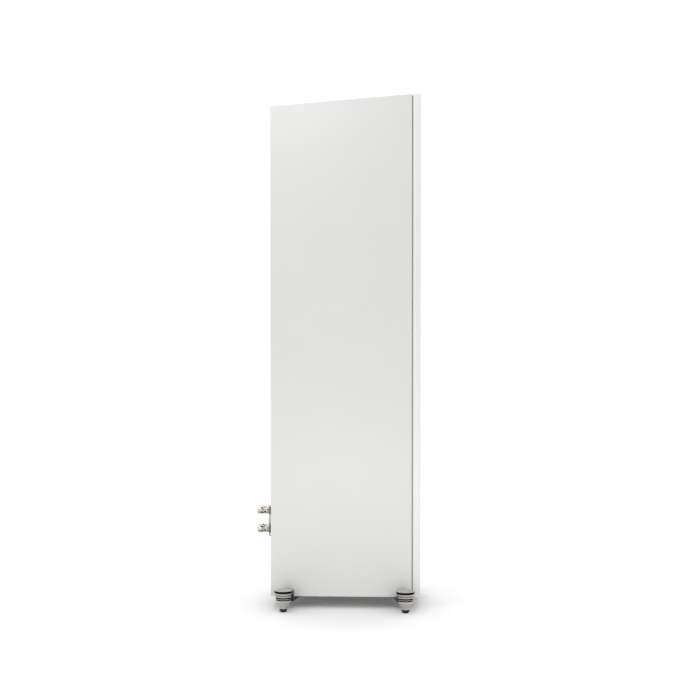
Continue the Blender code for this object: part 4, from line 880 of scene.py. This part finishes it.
firsts = {"collar_": firstCollar, "stud_": firstStud, "washer_": firstWasher, "knob_": firstKnob}
for tag, place in posts.items():
    shift = Matrix.Translation(place - home)
    collar, studPiece, washer, knob = (
        first if tag == "lower_left" else copyPiece(first, name + tag, shift) for name, first in firsts.items())
    dress(collar, "black polycarbonate")
    if "left" in tag:
        paintFaces(collar, "red polycarbonate", lambda spot, _: rearY + 0.0027 < spot.y < rearY + 0.0050)
    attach(collar, "cabinet")
    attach(studPiece, "cabinet")
    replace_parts(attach(washer, "post_washer_" + tag), "post_washer_" + tag)
    angle = Matrix.Rotation(math.radians(post["turned"][tag]), 4, "Y")
    knob.data.transform(Matrix.Translation(place) @ angle @ Matrix.Translation(-place))
    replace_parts(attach(knob, "post_knob_" + tag), "post_knob_" + tag)

# jumper straps: a strip with round ends, its lower tail bent in towards the cabinet
strap = {"drop": 0.0022, "tail": 0.0068, "bend": 0.0022}
upperZ, lowerZ = posts["upper_left"].z, posts["lower_left"].z
halfLink, near = post["linkWide"] / 2, rearY + linkStart
for side in ("left", "right"):
    x = posts["lower_" + side].x
    strip = boardPiece("strap_" + side, (x - halfLink, near, lowerZ - halfLink),
                       (x + halfLink, near + post["linkThick"], upperZ + halfLink))
    pickParts("EDGE", lambda spot, run: abs(run.y) > 0.001 and spot.z > upperZ)
    roundEdges(halfLink - 0.0001, 10)
    pickParts("FACE", lambda spot, way: way.z < -0.9)
    pushFaces(0, 0, -strap["drop"])
    for share in (0.4, 0.6):
        pushFaces(0, -strap["bend"] * share, -strap["tail"] * share)
    bpy.ops.transform.resize(value=(0.7, 1, 1))
    strip = finishPiece("strap_" + side)
    for height in (lowerZ, upperZ):
        cutHole(strip, 40, hole, 0.01, (x, near, height), (math.pi / 2, 0, 0))
    smoothAgain(strip)
    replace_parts(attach(dress(strip, "rolled nickel"), "cabinet"), "jumper_link_" + side)
print("rear made")

# feet

foot = {
    "steps": 80,
    "capRadius": 0.0197, "capFrom": 0.0411, "capTo": 0.0468, "ribs": 80, "ribDeep": 0.0002,
    "eyeRadius": 0.018, "eyeFrom": 0.0320, "eyeTo": 0.0408, "bore": 0.0042,
    "bandRadius": 0.0165, "bandFrom": 0.0252, "bandTo": 0.0317,
    "coneFrom": 0.0073, "coneTo": 0.0247, "coneTop": 0.0162, "coneLow": 0.0086,
    "armWide": 0.024, "riserFrom": 0.035, "riser": 0.0085, "plateFrom": 0.0160, "plateTo": 0.0247, "armEnd": 0.121,
    "armAngle": 10, "boltPlaces": (0.077, 0.106),
}
footTags = ("front_left", "front_right", "rear_left", "rear_right")
footPlaces = {tag: middleOf("foot_spindle_" + tag) for tag in footTags}
turns = {"front_left": foot["armAngle"], "front_right": 180 - foot["armAngle"],
         "rear_left": -foot["armAngle"], "rear_right": 180 + foot["armAngle"]}
origin = Vector((0, 0, 0))
steps = foot["steps"]

tipProfile = pointsFrom(0, 0, (0, 0), (5.4, 0), (5.8, 0.2), (6, 0.6), (8.3, 4.4), (8.5, 4.9), (8.5, 6.6), (8.2, 7),
                        (3.2, 7), (3.2, 3), (0, 3))
coneTop, coneLow, coneFrom, coneTo = (foot[key] for key in ("coneTop", "coneLow", "coneFrom", "coneTo"))
bandRadius, bandFrom, bandTo = foot["bandRadius"], foot["bandFrom"], foot["bandTo"]
eyeRadius, eyeFrom, eyeTo = foot["eyeRadius"], foot["eyeFrom"], foot["eyeTo"]
capRadius, capFrom, capTo = foot["capRadius"], foot["capFrom"], foot["capTo"]
rimFrom, discEdge, bore = coneTo - 0.0017, capRadius - 0.0010, foot["bore"]
spindleProfile = [
    (0, 0.0033), (0.003, 0.0033), (0.003, coneFrom),
    *pointsFrom(coneLow, coneFrom, (-0.2, 0), (0, 0.2), (0, 1), (-0.3, 1.2), (-0.2, 1.5)),
    *pointsFrom(coneTop, rimFrom, (-0.8, -0.3), (-0.3, 0), (0, 0.4)),
    *pointsFrom(coneTop, coneTo, (0, -0.3), (-0.3, 0), (-0.6, 0)),
    (coneTop - 0.0006, bandFrom), (0.004, bandFrom), (0.004, 0.0447), (0, 0.0447),
]
bandProfile = [
    (0.0041, bandFrom + 0.0001),
    *pointsFrom(bandRadius, bandFrom, (-0.3, 0.1), (0, 0.4), (0, 2.6), (-0.4, 2.8), (-0.4, 3.6), (0, 3.8)),
    *pointsFrom(bandRadius, bandTo, (0, -0.3), (-0.3, 0)), (0.0041, bandTo),
]
eyeProfile = [
    (bore, eyeFrom), *pointsFrom(eyeRadius, eyeFrom, (-1.2, 0), (-0.8, 0.3), (-0.5, 2.4), (-1.1, 2.8)),
    *pointsFrom(eyeRadius, eyeTo, (-1, -3.6), (-0.3, -3.1), (0, -0.4), (-0.4, 0)), (bore, eyeTo),
]
discProfile = [
    (0, capTo - 0.0022), *pointsFrom(discEdge, capTo, (-0.4, -2.2), (0, -1.8), (0, -0.9), (-0.3, -0.6)),
    (discEdge * 0.8, capTo - 0.0003), (discEdge * 0.4, capTo - 0.0001), (0, capTo),
]
bandSideProfile = [
    (bore, capFrom), *pointsFrom(capRadius, capFrom, (-0.4, 0), (0, 0.4)),
    *pointsFrom(capRadius, capTo, (0, -1.4), (-0.2, -1.1), (-0.6, -1)),
    *pointsFrom(discEdge, capTo, (0.1, -1.1), (0.1, -2.4)), (bore, capTo - 0.0024),
]


def footPiece(name, profile, look):
    return dress(turnedPiece(name, profile, origin, up, steps), look)


def onRims(spot, _):
    return rimFrom - 0.0001 < spot.z < coneTo + 0.0001 or coneFrom + 0.0001 < spot.z < coneFrom + 0.0011


tipPiece = footPiece("tip", tipProfile, "neoprene")
spindlePiece = footPiece("spindle", spindleProfile, "blasted steel")
paintFaces(spindlePiece, "polished aluminium", onRims)
bandPiece = footPiece("band", bandProfile, "black anodised knurl")
paintFaces(bandPiece, "blasted steel", lambda spot, _: bandFrom + 0.0027 < spot.z < bandFrom + 0.0037)
eyePiece = footPiece("eye", eyeProfile, "satin nickel")
# the hollow round the eye gets a darker painted shade
paintFaces(eyePiece, "eye hollow painted shade", lambda spot, _: eyeFrom + 0.0022 < spot.z < eyeTo - 0.0032)
discPiece = footPiece("disc", discProfile, "turned aluminium")
capBand = turnedPiece("cap_band", bandSideProfile, origin, up, foot["ribs"] * 2, 20)


# every other column of the rim goes in, which leaves upright ribs
def inRib(spot, _):
    column = round((math.degrees(math.atan2(spot.y, spot.x)) % 360) / (180 / foot["ribs"]))
    inRim = capFrom + 0.0003 < spot.z < capTo - 0.0015 and math.hypot(spot.x, spot.y) > capRadius - 0.0002
    return inRim and column % 2 == 0


makeActive(capBand)
pickParts("VERT", inRib)
shrink = 1 - foot["ribDeep"] / capRadius
bpy.ops.transform.resize(value=(shrink, shrink, 1), center_override=origin)
bpy.ops.object.mode_set(mode="OBJECT")
dress(capBand, "black anodised knurl")
paintFaces(capBand, "polished aluminium", lambda spot, _: spot.z > capTo - 0.0011)

# the arm: an upright riser, a short bar out to the eye and a long plate under the cabinet
halfArm, plateFrom, plateTo, armEnd = foot["armWide"] / 2, foot["plateFrom"], foot["plateTo"], foot["armEnd"]
riserFrom, riserTo, barFrom = foot["riserFrom"], foot["riserFrom"] + foot["riser"], eyeFrom + 0.0004
arm = boardPiece("arm", (riserFrom, -halfArm, plateFrom), (riserTo, halfArm, eyeTo - 0.0004))
for height in (plateTo, barFrom):
    editAll()
    bpy.ops.mesh.bisect(plane_co=(0, 0, height), plane_no=(0, 0, 1))
pickParts("FACE", lambda spot, way: way.x < -0.9 and spot.z > barFrom)
pushFaces(0.0165 - riserFrom, 0, 0)
pickParts("FACE", lambda spot, way: way.x > 0.9 and spot.z < plateTo)
pushFaces(armEnd - riserTo, 0, 0)
pickParts("EDGE", lambda spot, run: abs(run.z) > 0.001 and spot.x > armEnd - 0.001)
roundEdges(halfArm - 0.0005, 10)
editAll()
bpy.ops.mesh.dissolve_limited(angle_limit=math.radians(1))
pickParts("EDGE", lambda spot, run: True)
bpy.ops.mesh.edges_select_sharp(sharpness=math.radians(30))
roundEdges(0.0007, 3)
arm = dress(finishPiece("arm"), "powder coat")

firstBolt, headTop = foot["boltPlaces"][0], plateFrom - 0.0022
boltProfile = [(0, headTop), *pointsFrom(0, plateFrom, (3, -2.2), (4.2, -1.6), (4.8, -0.3), (4.8, 0), (3, 0)),
               (0.003, 0.037), (0, 0.037)]
boltPiece = turnedPiece("bolt", boltProfile, (firstBolt, 0, 0), up, 32)
cutHole(boltPiece, 6, 0.002, 0.003, (firstBolt, 0, headTop))
smoothAgain(boltPiece)
dress(boltPiece, "blackened steel")

for tag, place in footPlaces.items():
    spot = Matrix.Translation((place.x, place.y, 0)) @ Matrix.Rotation(math.radians(turns[tag]), 4, "Z")
    for piece, name, body, node in (
        (tipPiece, "sole_", "foot_tip_", "foot_tip_"), (spindlePiece, "cone_", "foot_spindle_", "foot_spindle_"),
        (bandPiece, "clamp_band_", "foot_spindle_", None), (eyePiece, "eye_", None, None),
        (discPiece, "cap_disc_", None, "foot_cap_"), (capBand, "cap_band_", None, None),
        (arm, "arm_", None, "foot_arm_"),
    ):
        made = copyPiece(piece, name + tag, spot)
        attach(made, body + tag if body else "cabinet")
        if node:
            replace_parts(made, node + tag)
    for count, along in enumerate(foot["boltPlaces"], 1):
        slide = Matrix.Translation((along - firstBolt, 0, 0))
        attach(copyPiece(boltPiece, f"arm_bolt_{count}_{tag}", spot @ slide), "cabinet")
for piece in (tipPiece, spindlePiece, bandPiece, eyePiece, discPiece, capBand, arm, boltPiece):
    bpy.data.objects.remove(piece)
print("feet made")

# floor, light and camera

studio = {
    "paper": "#efefef",
    "sky": ("#ffffff", 1.01),
    "sun": {"place": (1.5, 0.1, 2.6), "strength": 0.7, "softness": 40},
    "lights": (  # name, place, aim, width, height, watts
        ("high_side", (-0.50, 0.30, 1.50), (-0.1, 0.05, 1.0), 0.4, 0.2, 1.6),
        ("low_side", (-0.80, 0.0, 0.15), (-0.1, 0.0, 0.12), 1.0, 0.2, 1.1),
    ),
}

pickNothing()
bpy.ops.mesh.primitive_plane_add(size=40, location=(0, 0, 0))
floor = bpy.context.object
floor.name = "studio_floor"
paper = bpy.data.materials.new("studio paper")
paper.use_nodes = True
paperShader = paper.node_tree.nodes["Principled BSDF"].inputs
paperShader["Base Color"].default_value = linear(studio["paper"])
paperShader["Roughness"].default_value = 0.9
floor.data.materials.append(paper)

world = bpy.data.worlds.new("studio")
bpy.context.scene.world = world
world.use_nodes = True
skyColour, skyStrength = studio["sky"]
world.node_tree.nodes["Background"].inputs["Color"].default_value = linear(skyColour)
world.node_tree.nodes["Background"].inputs["Strength"].default_value = skyStrength
for name, place, aim, wideness, tallness, watts in studio["lights"]:
    lamp = bpy.data.lights.new(name, "AREA")
    lamp.shape = "RECTANGLE"
    lamp.size, lamp.size_y, lamp.energy = wideness, tallness, watts
    holder = bpy.data.objects.new(name, lamp)
    holder.location = place
    holder.rotation_euler = (Vector(aim) - Vector(place)).to_track_quat("-Z", "Y").to_euler()
    holder.visible_camera = False
    bpy.context.collection.objects.link(holder)

sunny = studio["sun"]
sunData = bpy.data.lights.new("skylight", "SUN")
sunData.energy, sunData.angle = sunny["strength"], math.radians(sunny["softness"])
sun = bpy.data.objects.new("skylight", sunData)
sun.location = sunny["place"]
sun.rotation_euler = (-Vector(sunny["place"])).to_track_quat("-Z", "Y").to_euler()
bpy.context.collection.objects.link(sun)

view = {"place": (-3.594, -0.180, 0.663), "yaw": 2.7, "pitch": -1.53, "lens": 85.4, "sensor": 36}
yaw, pitch = math.radians(view["yaw"]), math.radians(view["pitch"])
look = Vector((math.cos(yaw) * math.cos(pitch), math.sin(yaw) * math.cos(pitch), math.sin(pitch)))
cameraData = bpy.data.cameras.new("camera")
cameraData.lens, cameraData.sensor_width = view["lens"], view["sensor"]
camera = bpy.data.objects.new("camera", cameraData)
camera.location = view["place"]
camera.rotation_euler = look.to_track_quat("-Z", "Y").to_euler()
bpy.context.collection.objects.link(camera)
bpy.context.scene.camera = camera
bpy.context.scene.view_settings.view_transform = "Standard"

print("ready")
